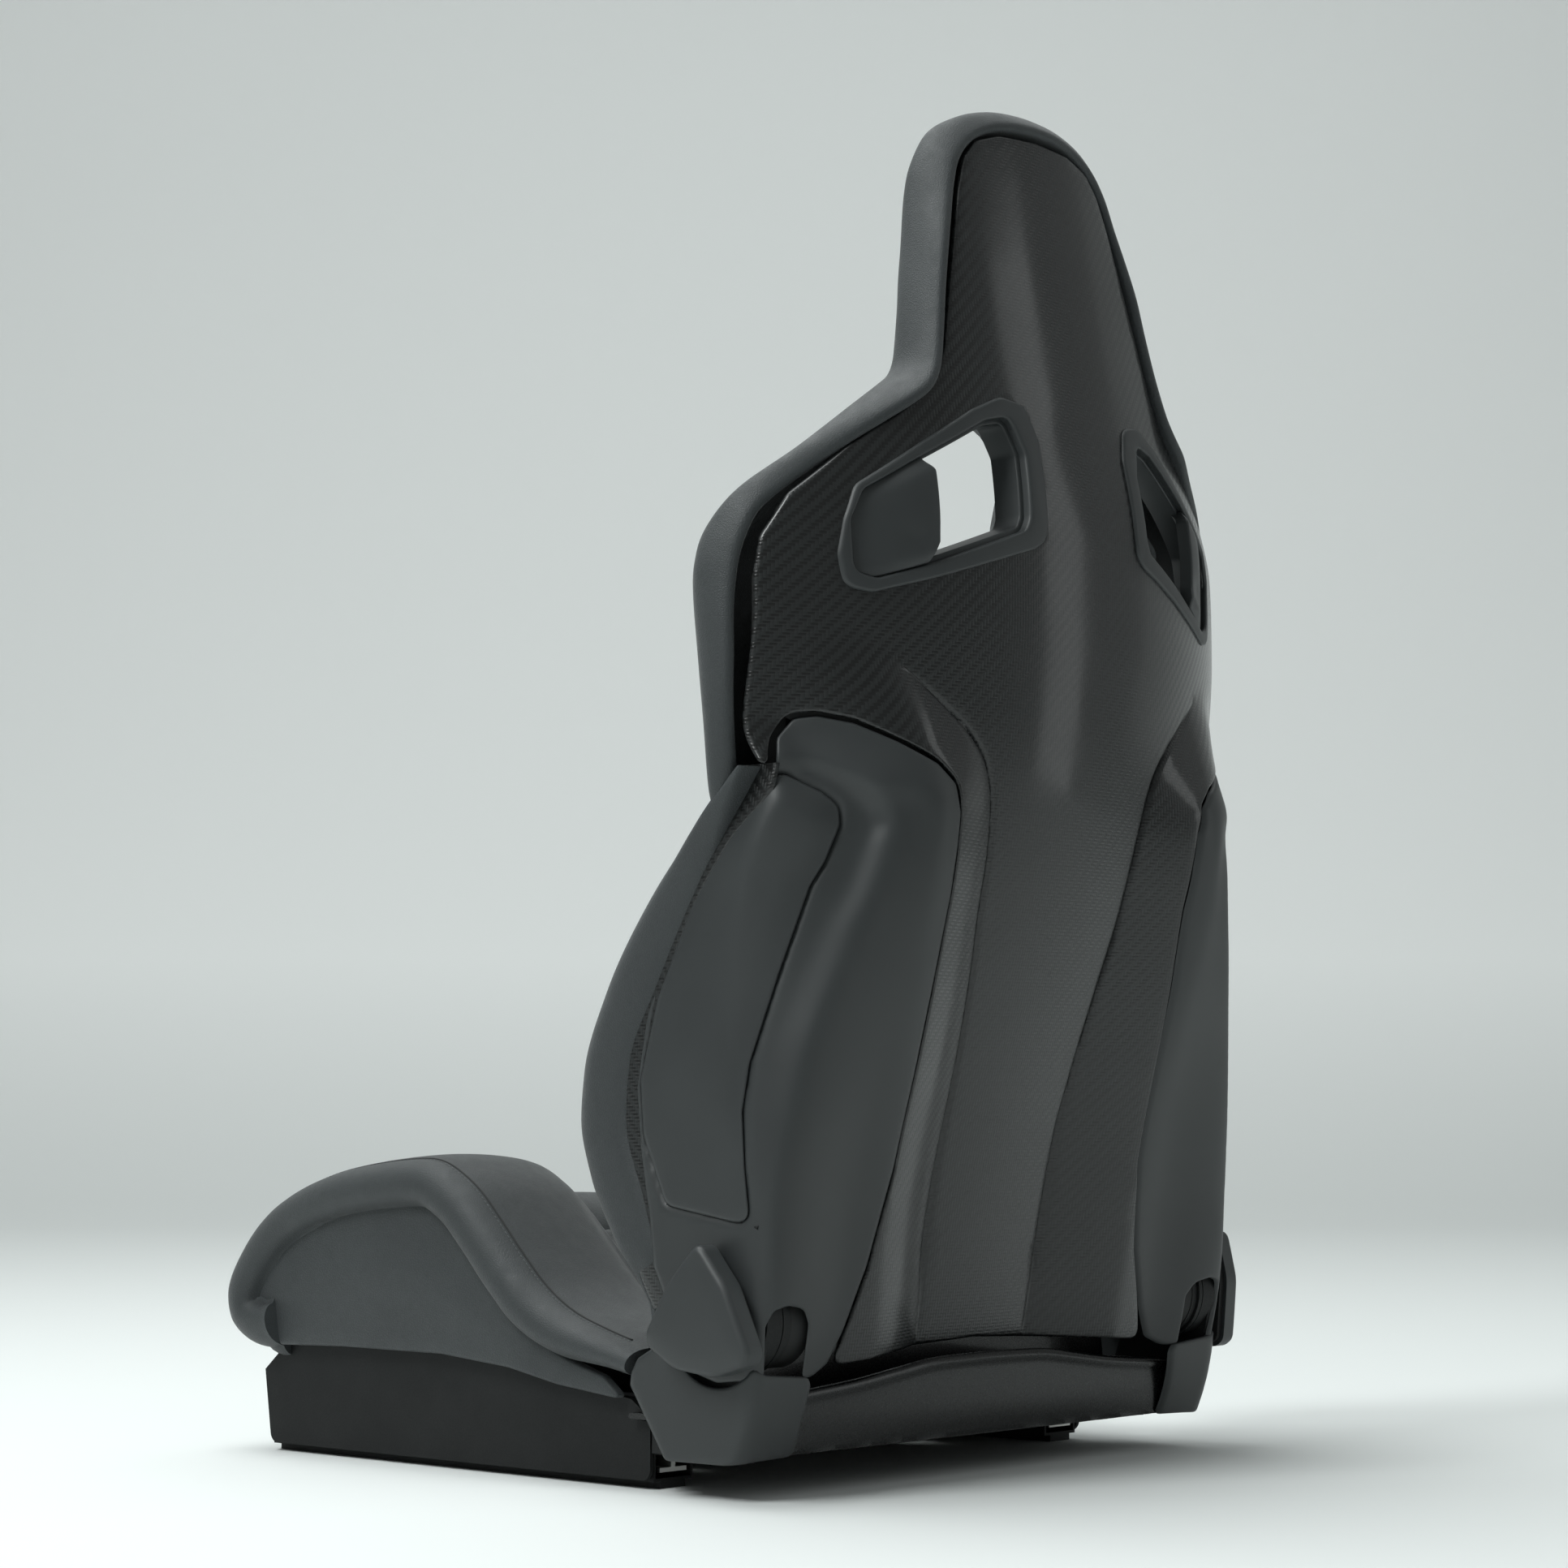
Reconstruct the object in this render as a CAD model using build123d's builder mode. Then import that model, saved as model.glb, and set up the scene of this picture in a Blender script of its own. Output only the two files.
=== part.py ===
"""Reclining racing seat: floor rails, sliding base, hinged backrest and its covers.

Millimetres. The origin is on the floor, midway between the rails. +Z is up, the seat
faces -Y, and +X is the sitter's left. Left pieces are drawn, and right ones mirror them.
"""
from build123d import *
import os
from math import asin, cos, degrees, radians, sin

# ---- driving dimensions -------------------------------------------------------------
rail_spacing = 430          # between the rail centre lines
rail_length = 400
mount_pitch = 340           # between the two mounting holes of a rail
mount_hole_radius = 4.25    # for M8 studs
foot_width = 24
foot_height = 5
channel_width = 38
channel_height = 20
channel_wall = 2
ball_radius = 1.9
ball_pitch = 40
ball_rows = 7

pivot_y = 285               # the backrest's hinge axis, parallel to X
pivot_z = 118
shaft_radius = 4
running_gap = 0.08          # radial play of every turning fit
housing_radius = 36
gear_radius = 29
stop_pin_orbit = 50         # stop pin, measured from the hinge axis
carrier_ear_radius = 60
fold_travel = 18            # degrees the backrest folds forward on its carrier

plate = 3                   # base side plates
skin = 3                    # moulded covers and the carbon shell
pad_gap = 38                # from the shell's outer face to the back of the pad
base_outer_x = 238.5        # outer face of the base side plates
skin_x = 261                # outer face of the side covers
knob_inner_x = 265
knob_outer_x = 286
top_z = 952

rail_x = rail_spacing / 2
channel_floor = foot_height + channel_wall
flange_z = 45               # top of the upper rails
slide_length = 380          # seat pan and side flanges, along the rails
bolt_x = rail_x - 9         # base bolts through pan, side flange and upper rail
bolt_y = 120
bolt_radius = 3
bolt_head_radius = 5.5
shaft_bore = shaft_radius + running_gap


# ---- helpers --------------------------------------------------------------------------
def save(piece, name):
    """Label a finished piece and write its file."""
    piece.part.label = name
    export_step(piece.part, f"parts/{name}.step")


def save_pair(left, stem):
    """Write a left piece and its mirror image."""
    with BuildPart() as right:
        mirror(left.part, about=Plane.YZ)
    save(left, f"{stem}_left")
    save(right, f"{stem}_right")


def slab(outline, x_from, x_to):
    """Closed solid between two X planes, with its outline given as (y, z) points."""
    with BuildPart() as piece:
        with BuildSketch(Plane.YZ.offset(x_from)):
            with BuildLine():
                Polyline(*outline, close=True)
            make_face()
        extrude(amount=x_to - x_from)
    return piece


def polar(radius, angle):
    """(y, z) at an angle from +Y about the hinge axis."""
    return (pivot_y + radius * cos(radians(angle)), pivot_z + radius * sin(radians(angle)))


def rod(start, end, radius):
    """Straight round bar."""
    direction = Vector(*end) - Vector(*start)
    with BuildPart() as piece:
        with BuildSketch(Plane(origin=start, z_dir=direction)):
            Circle(radius)
        extrude(amount=direction.length)
    return piece


os.makedirs("parts", exist_ok=True)

# ---- floor rails ----------------------------------------------------------------------
channel_mid = foot_height + channel_height / 2
channel_slot = 16           # open along the channel's top
latch_slot_pitch = 12
latch_slots = 13
latch_y = -110              # middle of the row of latch slots
with BuildPart() as lower_rail:
    with BuildSketch(Plane.XZ):
        with Locations((rail_x, foot_height / 2)):
            Rectangle(foot_width, foot_height)
        with Locations((rail_x, channel_mid)):
            Rectangle(channel_width, channel_height)
            Rectangle(channel_width - 2 * channel_wall, channel_height - 2 * channel_wall,
                      mode=Mode.SUBTRACT)
        with Locations((rail_x, foot_height + channel_height)):
            Rectangle(channel_slot, 3 * channel_wall, mode=Mode.SUBTRACT)
    extrude(amount=rail_length / 2, both=True)
    with BuildSketch(Plane.XY):
        with Locations((rail_x, mount_pitch / 2), (rail_x, -mount_pitch / 2)):
            Circle(mount_hole_radius)
    extrude(amount=channel_floor + 1, mode=Mode.SUBTRACT)
    # latch slots along the inner wall
    with BuildSketch(Plane.YZ.offset(rail_x - channel_width / 2 - 1)):
        with Locations((latch_y, channel_mid)):
            with GridLocations(latch_slot_pitch, 1, latch_slots, 1):
                Rectangle(6, 8)
    extrude(amount=channel_wall + 1.5, mode=Mode.SUBTRACT)
save_pair(lower_rail, "lower_rail")

upper_foot_width = 26
ball_z = channel_floor + ball_radius + 0.1
ball_row_offset = 9
cage_thick = 0.8
with BuildPart() as ball_cage:
    with BuildSketch(Plane.XY.offset(ball_z - cage_thick / 2)):
        with Locations((rail_x, 0)):
            Rectangle(upper_foot_width, ball_rows * ball_pitch)
            with GridLocations(2 * ball_row_offset, ball_pitch, 2, ball_rows):
                Circle(ball_radius + 0.2, mode=Mode.SUBTRACT)
    extrude(amount=cage_thick)
save_pair(ball_cage, "ball_cage")

with BuildPart() as rail_balls:
    for side in (-1, 1):
        with Locations((side * rail_x, 0, ball_z)):
            with GridLocations(2 * ball_row_offset, ball_pitch, 2, ball_rows):
                Sphere(ball_radius)
save(rail_balls, "rail_balls")

upper_foot_z = channel_floor + 2 * ball_radius + 0.2
with BuildPart() as upper_rail:
    with BuildSketch(Plane.XZ):
        with Locations((rail_x, upper_foot_z + plate / 2)):
            Rectangle(upper_foot_width, plate)
        with Locations((rail_x, (upper_foot_z + flange_z) / 2)):
            Rectangle(4, flange_z - upper_foot_z)
        with Locations((rail_x, flange_z - plate / 2)):
            Rectangle(30, plate)
    extrude(amount=rail_length / 2, both=True)
    with BuildSketch(Plane.XY.offset(flange_z - 4)):
        with Locations((bolt_x, bolt_y), (bolt_x, -bolt_y)):
            Circle(bolt_radius + 0.2)
    extrude(amount=5, mode=Mode.SUBTRACT)
save_pair(upper_rail, "upper_rail")

# ---- base frame -----------------------------------------------------------------------
bracket_inner_x = base_outer_x - plate
bracket_x = 248             # inner face of the hinge bracket's rear part
bracket_thick = 4
bracket_bolt_places = ((150, 36), (185, 36))
bracket_bolt_radius = 4
flange_from = 200           # inner edge of the side plate's top flange
base_side_outline = [(-198, 6), (-206, 60), (-177, 84), (-112, 87), (3, 86), (71, 80),
                     (120, 71), (183, 60), (201, 48), (201, 6)]
with BuildPart() as base_side:
    with BuildSketch(Plane.YZ.offset(bracket_inner_x)):
        with BuildLine():
            Polyline(*base_side_outline, close=True)
        make_face()
        fillet(vertices().group_by(Axis.Y)[0], 8)
    extrude(amount=plate)
    with BuildSketch(Plane.XY.offset(flange_z)):
        with Locations(((flange_from + bracket_inner_x) / 2, 0)):
            Rectangle(bracket_inner_x - flange_from, slide_length)
        with Locations((bolt_x, bolt_y), (bolt_x, -bolt_y)):
            Circle(bolt_radius + 0.2, mode=Mode.SUBTRACT)
    extrude(amount=plate)
    # blind threads for the hinge bracket's bolts
    with BuildSketch(Plane.YZ.offset(bracket_inner_x)):
        with Locations(*bracket_bolt_places):
            Circle(bracket_bolt_radius)
    extrude(amount=2, mode=Mode.SUBTRACT)
save_pair(base_side, "base_side")

cross_tube_z = 34
cross_tube_radius = 8
for name, y in (("front_cross_tube", -70), ("rear_cross_tube", 150)):
    with BuildPart() as cross_tube:
        with BuildSketch(Plane.YZ.offset(-rail_x + 2)):
            with Locations((y, cross_tube_z)):
                Circle(cross_tube_radius)
                Circle(cross_tube_radius - 1.5, mode=Mode.SUBTRACT)
        extrude(amount=rail_spacing - 4)
    save(cross_tube, name)

# the seat pan is a shallow pressed tray on the side plates' flanges
pan_z = flange_z + plate
pan_thick = 2.5
pan_width = 464
vent_radius = 16
with BuildPart() as cushion_pan:
    with BuildSketch(Plane.XY.offset(pan_z)):
        RectangleRounded(pan_width, slide_length, 14)
    extrude(amount=13)
    offset(amount=-pan_thick, openings=faces().sort_by(Axis.Z)[-1])
    with BuildSketch(Plane.XY.offset(pan_z)):
        with GridLocations(2 * bolt_x, 2 * bolt_y, 2, 2):
            Circle(bolt_radius + 0.2)
        with GridLocations(120, 110, 3, 3):
            Circle(vent_radius)
    extrude(amount=plate, mode=Mode.SUBTRACT)
save(cushion_pan, "cushion_pan")

with BuildPart() as base_bolts:
    with BuildSketch(Plane.XY.offset(pan_z + pan_thick)):
        with GridLocations(2 * bolt_x, 2 * bolt_y, 2, 2):
            RegularPolygon(bolt_head_radius, 6)
    extrude(amount=4)
    with BuildSketch(Plane.XY.offset(flange_z - 8)):
        with GridLocations(2 * bolt_x, 2 * bolt_y, 2, 2):
            Circle(bolt_radius)
    extrude(amount=pan_z + pan_thick - flange_z + 8)
    with BuildSketch(Plane.XY.offset(flange_z - plate)):
        with GridLocations(2 * bolt_x, 2 * bolt_y, 2, 2):
            RegularPolygon(bolt_head_radius, 6)
    extrude(amount=-5)
save(base_bolts, "base_bolts")

# rear crossmember: pressed channel, its crown lower outboard where the shell swings past
beam_half = bracket_x - 0.1
beam_top = [(60, 83), (140, 69), (200, 66), (beam_half, 58)]
with BuildPart() as rear_crossmember:
    with BuildSketch(Plane.YZ.offset(-beam_half)):
        with BuildLine():
            Polyline((262, 27), (290, 27), (299, 84), (262, 84), (262, 81), (295.5, 81), (287.5, 30),
                     (262, 30), close=True)
        make_face()
    extrude(amount=2 * beam_half)
    with BuildSketch(Plane.XZ.offset(-300)):
        with BuildLine():
            Polyline((0, 90), (0, 83), *beam_top, (beam_half, 90), close=True)
        make_face()
        mirror(about=Plane.YZ)
    extrude(amount=50, mode=Mode.SUBTRACT)
save(rear_crossmember, "rear_crossmember")

# hinge bracket: bolted inside the side plate, stepped out behind it, then round about the hinge
with BuildPart() as hinge_bracket:
    with BuildSketch(Plane.XY.offset(20)):
        with BuildLine():
            Polyline((bracket_inner_x - bracket_thick, 130), (bracket_inner_x, 130),
                     (bracket_inner_x, 203), (bracket_x + bracket_thick, 216),
                     (bracket_x + bracket_thick, 330), (bracket_x, 330), (bracket_x, 219),
                     (bracket_inner_x - bracket_thick, 206), close=True)
        make_face()
    extrude(amount=140)
    with BuildSketch(Plane.YZ.offset(bracket_inner_x - 10)):
        with BuildLine():
            Polyline((132, 28), (300, 26), (321, 118), (249, 118), (228, 62), (206, 44), (132, 44),
                     close=True)
        make_face()
        with Locations((pivot_y, pivot_z)):
            Circle(housing_radius)
        with Locations((pivot_y, pivot_z)):
            Circle(shaft_bore, mode=Mode.SUBTRACT)
        with Locations(*bracket_bolt_places):
            Circle(bracket_bolt_radius, mode=Mode.SUBTRACT)
    extrude(amount=30, mode=Mode.INTERSECT)
save_pair(hinge_bracket, "hinge_bracket")

with BuildPart() as bracket_bolts:
    with BuildSketch(Plane.YZ.offset(bracket_inner_x - bracket_thick - 1.4)):
        with Locations(*bracket_bolt_places):
            RegularPolygon(bolt_head_radius, 6)
    extrude(amount=1.4)
    with BuildSketch(Plane.YZ.offset(bracket_inner_x - bracket_thick)):
        with Locations(*bracket_bolt_places):
            Circle(bracket_bolt_radius)
    extrude(amount=bracket_thick + 1.9)
    mirror(about=Plane.YZ)
save(bracket_bolts, "bracket_bolts")

# ---- recliner: toothed housing on the base, gear and carrier on the back ----------------
carrier_x = 232
carrier_thick = 4
gear_hub_x = carrier_x + carrier_thick
housing_x = 237             # open side of the toothed housing
housing_floor_x = 244
housing_teeth = 34
gear_teeth = housing_teeth - 1
with BuildPart() as recliner_housing:
    with BuildSketch(Plane.YZ.offset(housing_floor_x)):
        with Locations((pivot_y, pivot_z)):
            Circle(housing_radius)
            Circle(shaft_bore, mode=Mode.SUBTRACT)
    extrude(amount=bracket_x - housing_floor_x)
    with BuildSketch(Plane.YZ.offset(housing_x)):
        with Locations((pivot_y, pivot_z)):
            Circle(housing_radius)
            Circle(housing_radius - 2.6, mode=Mode.SUBTRACT)
            with PolarLocations(housing_radius - 3.1, housing_teeth):
                Rectangle(3, 2.6)
    extrude(amount=housing_floor_x - housing_x)
save_pair(recliner_housing, "recliner_housing")

with BuildPart() as recliner_gear:
    with BuildSketch(Plane.YZ.offset(gear_hub_x + 1.5)):
        with Locations((pivot_y, pivot_z)):
            Circle(gear_radius)
            with PolarLocations(gear_radius, gear_teeth):
                Rectangle(3, 2.4)
            Circle(shaft_bore, mode=Mode.SUBTRACT)
    extrude(amount=5.5)
    with BuildSketch(Plane.YZ.offset(gear_hub_x)):
        with Locations((pivot_y, pivot_z)):
            Circle(20)
            Circle(shaft_bore, mode=Mode.SUBTRACT)
    extrude(amount=1.5)
save_pair(recliner_gear, "recliner_gear")

# carrier plate: a disc with an ear that holds the stop slot and the fold catch's notch
boss_radius = 12
boss_length = 8
ear_from = 68
ear_to = 136
catch_notch_angle = 86
stop_pin_radius = 4
stop_arc = CenterArc((pivot_y, pivot_z), stop_pin_orbit, 90 - 1, fold_travel + 2)
with BuildPart() as carrier_plate:
    with BuildSketch(Plane.YZ.offset(carrier_x)):
        with BuildLine():
            CenterArc((pivot_y, pivot_z), carrier_ear_radius, ear_from, ear_to - ear_from)
            Line(polar(carrier_ear_radius, ear_to), (pivot_y, pivot_z))
            Line((pivot_y, pivot_z), polar(carrier_ear_radius, ear_from))
        make_face()
        with Locations((pivot_y, pivot_z)):
            Circle(housing_radius)
            Circle(shaft_bore, mode=Mode.SUBTRACT)
        SlotArc(stop_arc, 2 * stop_pin_radius + 1, mode=Mode.SUBTRACT)
        with Locations(Location(polar(carrier_ear_radius, catch_notch_angle), catch_notch_angle)):
            Rectangle(10, 10, mode=Mode.SUBTRACT)
    extrude(amount=carrier_thick)
    with BuildSketch(Plane.YZ.offset(carrier_x - boss_length)):
        with Locations((pivot_y, pivot_z)):
            Circle(boss_radius)
            Circle(shaft_bore, mode=Mode.SUBTRACT)
    extrude(amount=boss_length)
save_pair(carrier_plate, "carrier_plate")

# ---- recliner drive: two hand knobs on one cross shaft -----------------------------------
knob_socket = 8             # depth of the shaft in each knob
with BuildPart() as recliner_cross_shaft:
    with BuildSketch(Plane.YZ.offset(-knob_inner_x - knob_socket)):
        with Locations((pivot_y, pivot_z)):
            Circle(shaft_radius)
    extrude(amount=2 * (knob_inner_x + knob_socket))
save(recliner_cross_shaft, "recliner_cross_shaft")

# the knob is a rounded triangle, thicker in its middle
knob_corners = [(pivot_y + 1, pivot_z + 58), (pivot_y - 62, pivot_z - 28), (pivot_y + 58, pivot_z - 30)]
with BuildPart() as recliner_knob:
    with BuildSketch(Plane.YZ.offset(knob_inner_x)):
        with BuildLine():
            ThreePointArc(knob_corners[0], (pivot_y - 37, pivot_z + 19), knob_corners[1])
            ThreePointArc(knob_corners[1], (pivot_y - 1, pivot_z - 36), knob_corners[2])
            ThreePointArc(knob_corners[2], (pivot_y + 36, pivot_z + 19), knob_corners[0])
        make_face()
        fillet(vertices(), 14)
    extrude(amount=knob_outer_x - knob_inner_x)
    fillet(faces().sort_by(Axis.X)[-1].edges(), 3)
    with BuildSketch(Plane.YZ.offset(knob_inner_x)):
        with Locations((pivot_y, pivot_z)):
            Circle(shaft_radius)
    extrude(amount=knob_socket, mode=Mode.SUBTRACT)
save_pair(recliner_knob, "recliner_knob")

# ---- hinge cover on the base, hollow, with a concave top round the backrest's end --------
cover_outline = [(204, 76), (229, 99), (262, 104), (316, 104), (316, 80), (300, 24), (238, 24)]
cover_rear = [(300, 24), (303, 24), (319, 80), (319, 84), (316, 84), (316, 80)]
cover_clearance = 44        # radius of the concave top
cover_outer_x = 262
with BuildPart() as hinge_cover:
    for outline, x_from in ((cover_outline, 254), (cover_rear, 204)):
        with BuildSketch(Plane.YZ.offset(x_from)):
            with BuildLine():
                Polyline(*outline, close=True)
            make_face()
            with Locations((pivot_y, pivot_z)):
                Circle(cover_clearance, mode=Mode.SUBTRACT)
        extrude(amount=cover_outer_x - x_from)
save_pair(hinge_cover, "hinge_cover")

# ---- cushion ------------------------------------------------------------------------------
centre_half = 126
centre_outline = [(-146, 51), (-146, 163), (-120, 140), (-60, 116), (50, 99), (186, 97), (186, 51)]
save(slab(centre_outline, -centre_half, centre_half), "cushion_centre_pad")

front_outline = [(-188, 64), (-206, 75), (-236, 100), (-243, 131), (-236, 162), (-218, 183), (-200, 188),
                 (-180, 184), (-149, 167), (-149, 64)]
save(slab(front_outline, -centre_half, centre_half), "cushion_front_roll")

bolster_outline = [(-206, 76), (-236, 112), (-236, 135), (-180, 192), (-100, 215), (-30, 221),
                   (10, 218), (60, 190), (100, 154), (125, 126), (200, 100), (205, 90), (190, 64),
                   (120, 80), (3, 92), (-112, 92), (-177, 90)]
bolster_inner_x = centre_half + 4
with BuildPart() as cushion_bolster:
    with BuildSketch(Plane.YZ.offset(bolster_inner_x)):
        with BuildLine():
            Polyline(*bolster_outline, close=True)
        make_face()
    extrude(amount=cover_outer_x - bolster_inner_x)
    outer_edges = edges().filter_by(Axis.X, reverse=True).group_by(Axis.X)[-1]
    fillet(outer_edges.filter_by_position(Axis.Z, 100, 230), 14)
save_pair(cushion_bolster, "cushion_bolster")

# ---- slide handle: a front lift bar on two pivots, with a latch arm at each rail ----------
handle_z = 30
handle_x = 180
handle_end_y = -135         # rear ends of the bent bar
handle_pivot_y = -130
handle_front_y = -230
handle_radius = 6
latch_arm_x = handle_x - 1.5
latch_tooth_y = -98
handle_pin_radius = 4
with BuildPart() as slide_handle:
    with BuildLine(Plane.XY.offset(handle_z)) as handle_path:
        Polyline((-handle_x, handle_end_y), (-handle_x, handle_front_y), (handle_x, handle_front_y),
                 (handle_x, handle_end_y))
        fillet(vertices().group_by(Axis.Y)[0], 30)
    with BuildSketch(Plane((-handle_x, handle_end_y, handle_z), z_dir=(0, -1, 0))):
        Circle(handle_radius)
        Circle(handle_radius - 1.2, mode=Mode.SUBTRACT)
    sweep(path=handle_path.line)
save(slide_handle, "slide_handle")

with BuildPart() as latch_arm:
    with BuildSketch(Plane.YZ.offset(latch_arm_x)):
        with BuildLine():
            Polyline((handle_end_y, handle_z - 5), (handle_end_y, handle_z + 6), (-120, handle_z + 6),
                     (-92, 22), (-92, 11), (-106, 11), (-120, handle_z - 5), close=True)
        make_face()
    extrude(amount=plate)
    with BuildSketch(Plane.YZ.offset(latch_arm_x + plate)):
        with Locations((latch_tooth_y, channel_mid)):
            with GridLocations(latch_slot_pitch / 2, 1, 2, 1):
                Rectangle(3, 6)
    extrude(amount=13.5)
    with BuildSketch(Plane.YZ.offset(latch_arm_x + plate)):
        with Locations((handle_pivot_y, handle_z)):
            Circle(handle_pin_radius)
    extrude(amount=12)
save_pair(latch_arm, "latch_arm")

with BuildPart() as handle_bracket:
    with BuildSketch(Plane.YZ.offset(189)):
        with Locations((handle_pivot_y, pan_z - 13)):
            Rectangle(20, 26)
        with Locations((handle_pivot_y, handle_z)):
            Circle(handle_pin_radius + running_gap, mode=Mode.SUBTRACT)
    extrude(amount=4)
save_pair(handle_bracket, "handle_bracket")

# ---- backrest frame -------------------------------------------------------------------------
member_x = 226
member_thick = 5.5
cross_z = 590
catch_pin = (250, 186)
catch_pin_radius = 3
stop_pin = polar(stop_pin_orbit, 90)
with BuildPart() as back_side_member:
    with BuildSketch(Plane.YZ.offset(member_x)):
        with BuildLine():
            Polyline((255, pivot_z), (257, 210), (268, 330), (288, 474), (300, 560), (301, 606), (323, 606),
                     (323, 560), (314, 474), (304, 330), (308, 210), (318, pivot_z), close=True)
        make_face()
        with Locations((pivot_y, pivot_z)):
            Circle(housing_radius - 2)
        with Locations(catch_pin):
            Circle(12)
        with Locations((pivot_y, pivot_z)):
            Circle(boss_radius + running_gap, mode=Mode.SUBTRACT)
        with Locations(catch_pin):
            Circle(catch_pin_radius, mode=Mode.SUBTRACT)
        with Locations(stop_pin):
            Circle(stop_pin_radius, mode=Mode.SUBTRACT)
        with Locations((286, 250), (291, 320), (297, 390)):
            SlotOverall(34, 12, rotation=84, mode=Mode.SUBTRACT)
    extrude(amount=member_thick)
save_pair(back_side_member, "back_side_member")

with BuildPart() as frame_pins:
    for centre, radius in ((catch_pin, catch_pin_radius), (stop_pin, stop_pin_radius)):
        with BuildSketch(Plane.YZ.offset(member_x)):
            with Locations(centre):
                Circle(radius)
        extrude(amount=member_thick + 4.9)
    mirror(about=Plane.YZ)
save(frame_pins, "frame_pins")

with BuildPart() as fold_catch:
    with BuildSketch(Plane.YZ.offset(232.3)):
        with BuildLine():
            Polyline((catch_pin[0], 178.5), (catch_pin[0], 193), (294, 190), (294, 180), (293, 178.9),
                     (286, 178.9), (284, 182), (262, 182), close=True)
        make_face()
        with Locations(catch_pin):
            Circle(8)
            Circle(catch_pin_radius + running_gap, mode=Mode.SUBTRACT)
    extrude(amount=3.4)
save_pair(fold_catch, "fold_catch")


def bowed_tube(z, end_y, mid_y, radius, bore, half):
    """Tube across the back, bowed rearward in its middle."""
    with BuildPart() as piece:
        with BuildLine(Plane.XY.offset(z)) as path:
            ThreePointArc((-half, end_y), (0, mid_y), (half, end_y))
        with BuildSketch(Plane(path.line @ 0, z_dir=path.line % 0)):
            Circle(radius)
            if bore:
                Circle(bore, mode=Mode.SUBTRACT)
        sweep(path=path.line)
    return piece


upper_cross_tube = bowed_tube(cross_z, 312, 380, 11, 9, member_x - 6.5)
save(upper_cross_tube, "upper_cross_tube")

suspension_levels = ((215, 283, 292), (295, 287, 314), (375, 292, 338), (455, 298, 358), (535, 308, 368))
with BuildPart() as back_suspension:
    for z, end_y, mid_y in suspension_levels:
        add(bowed_tube(z, end_y, mid_y, 1.6, 0, member_x - 1).part)
save(back_suspension, "back_suspension")

hoop_lean = asin(0.134)
hoop_half = 36
hoop_leg = 262
hoop_radius = 8
hoop_plane = Plane(origin=(0, 379, cross_z + hoop_radius + 4.5), x_dir=(1, 0, 0),
                   z_dir=(0, -cos(hoop_lean), -sin(hoop_lean)))
with BuildPart() as head_frame_hoop:
    with BuildLine(hoop_plane) as hoop_path:
        Line((-hoop_half, 0), (-hoop_half, hoop_leg))
        ThreePointArc((-hoop_half, hoop_leg), (0, hoop_leg + hoop_half), (hoop_half, hoop_leg))
        Line((hoop_half, hoop_leg), (hoop_half, 0))
    with BuildSketch(Plane(hoop_path.line @ 0, z_dir=hoop_path.line % 0)):
        Circle(hoop_radius)
        Circle(hoop_radius - 1.5, mode=Mode.SUBTRACT)
    sweep(path=hoop_path.line)
save(head_frame_hoop, "head_frame_hoop")

# ---- carbon back shell ------------------------------------------------------------------
# The lower back is a recessed channel between raised flanks; above the hips the shell is a
# plain bow that narrows into the head section. Half outlines, (x, y) from the middle out.
shell_levels = [
    (95, ((0, 292), (60, 289), (120, 298), (174, 307))),
    (160, ((0, 304), (64, 301), (150, 329), (200, 322))),
    (238, ((0, 321), (65, 317), (140, 350), (205, 338))),
    (283, ((0, 335), (67, 331), (138, 360), (205, 344))),
    (344, ((0, 354), (73, 351), (137, 374), (205, 350))),
    (400, ((0, 371), (80, 368), (135, 386), (205, 350))),
    (440, ((0, 383), (84, 379), (137, 392), (205, 348))),
    (474, ((0, 390), (89, 386), (150, 370), (235, 324))),
    (530, ((0, 398), (110, 386), (180, 360), (258, 318))),
]
bow = 0.00132               # rearward bow of the upper shell per square millimetre


def bow_level(z, half, middle):
    """Shell outline at a level of the plain, bowed part."""
    steps = (0, 0.4, 0.7, 1)
    return (z, tuple((half * s, middle - bow * (half * s) ** 2) for s in steps))


for z, half, middle in ((600, 262, 404), (637, 258, 404), (669, 240, 402), (704, 200, 396),
                        (734, 158, 391), (757, 129, 387), (779, 118, 383), (840, 103, 372),
                        (902, 86, 361), (929, 74, 356), (top_z, 45, 352)):
    shell_levels.append(bow_level(z, half, middle))


def ring_points(points, thickness):
    """Closed outline of a thin bowed wall from its right half."""
    outer = [(-x, y) for x, y in reversed(points[1:])] + list(points)
    return outer + [(x, y - thickness) for x, y in reversed(outer)]


def wall(levels, thickness):
    """Thin wall lofted through half outlines."""
    with BuildPart() as piece:
        for z, points in levels:
            with BuildSketch(Plane.XY.offset(z)):
                with BuildLine():
                    Polyline(*ring_points(points, thickness), close=True)
                make_face()
        loft(ruled=True)
    return piece


# belt opening, (x, z): a slanted rounded quadrilateral beside the head section
belt_opening = [(56, 656), (68, 738), (92, 736), (196, 674), (206, 652), (198, 618)]


def belt_prism(grow, side):
    """Outline of the belt opening on one side, grown outward, as a face along Y."""
    with BuildSketch(Plane.XZ.offset(-430)) as outline:
        with BuildLine():
            Polyline(*[(side * x, z) for x, z in belt_opening], close=True)
        make_face()
        fillet(vertices(), 12)
        if grow:
            offset(amount=grow)
    return outline.sketch


with BuildPart() as back_shell:
    add(wall(shell_levels, skin).part)
    for side in (-1, 1):
        extrude(belt_prism(4, side), amount=200, mode=Mode.SUBTRACT)
save(back_shell, "back_shell")

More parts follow.
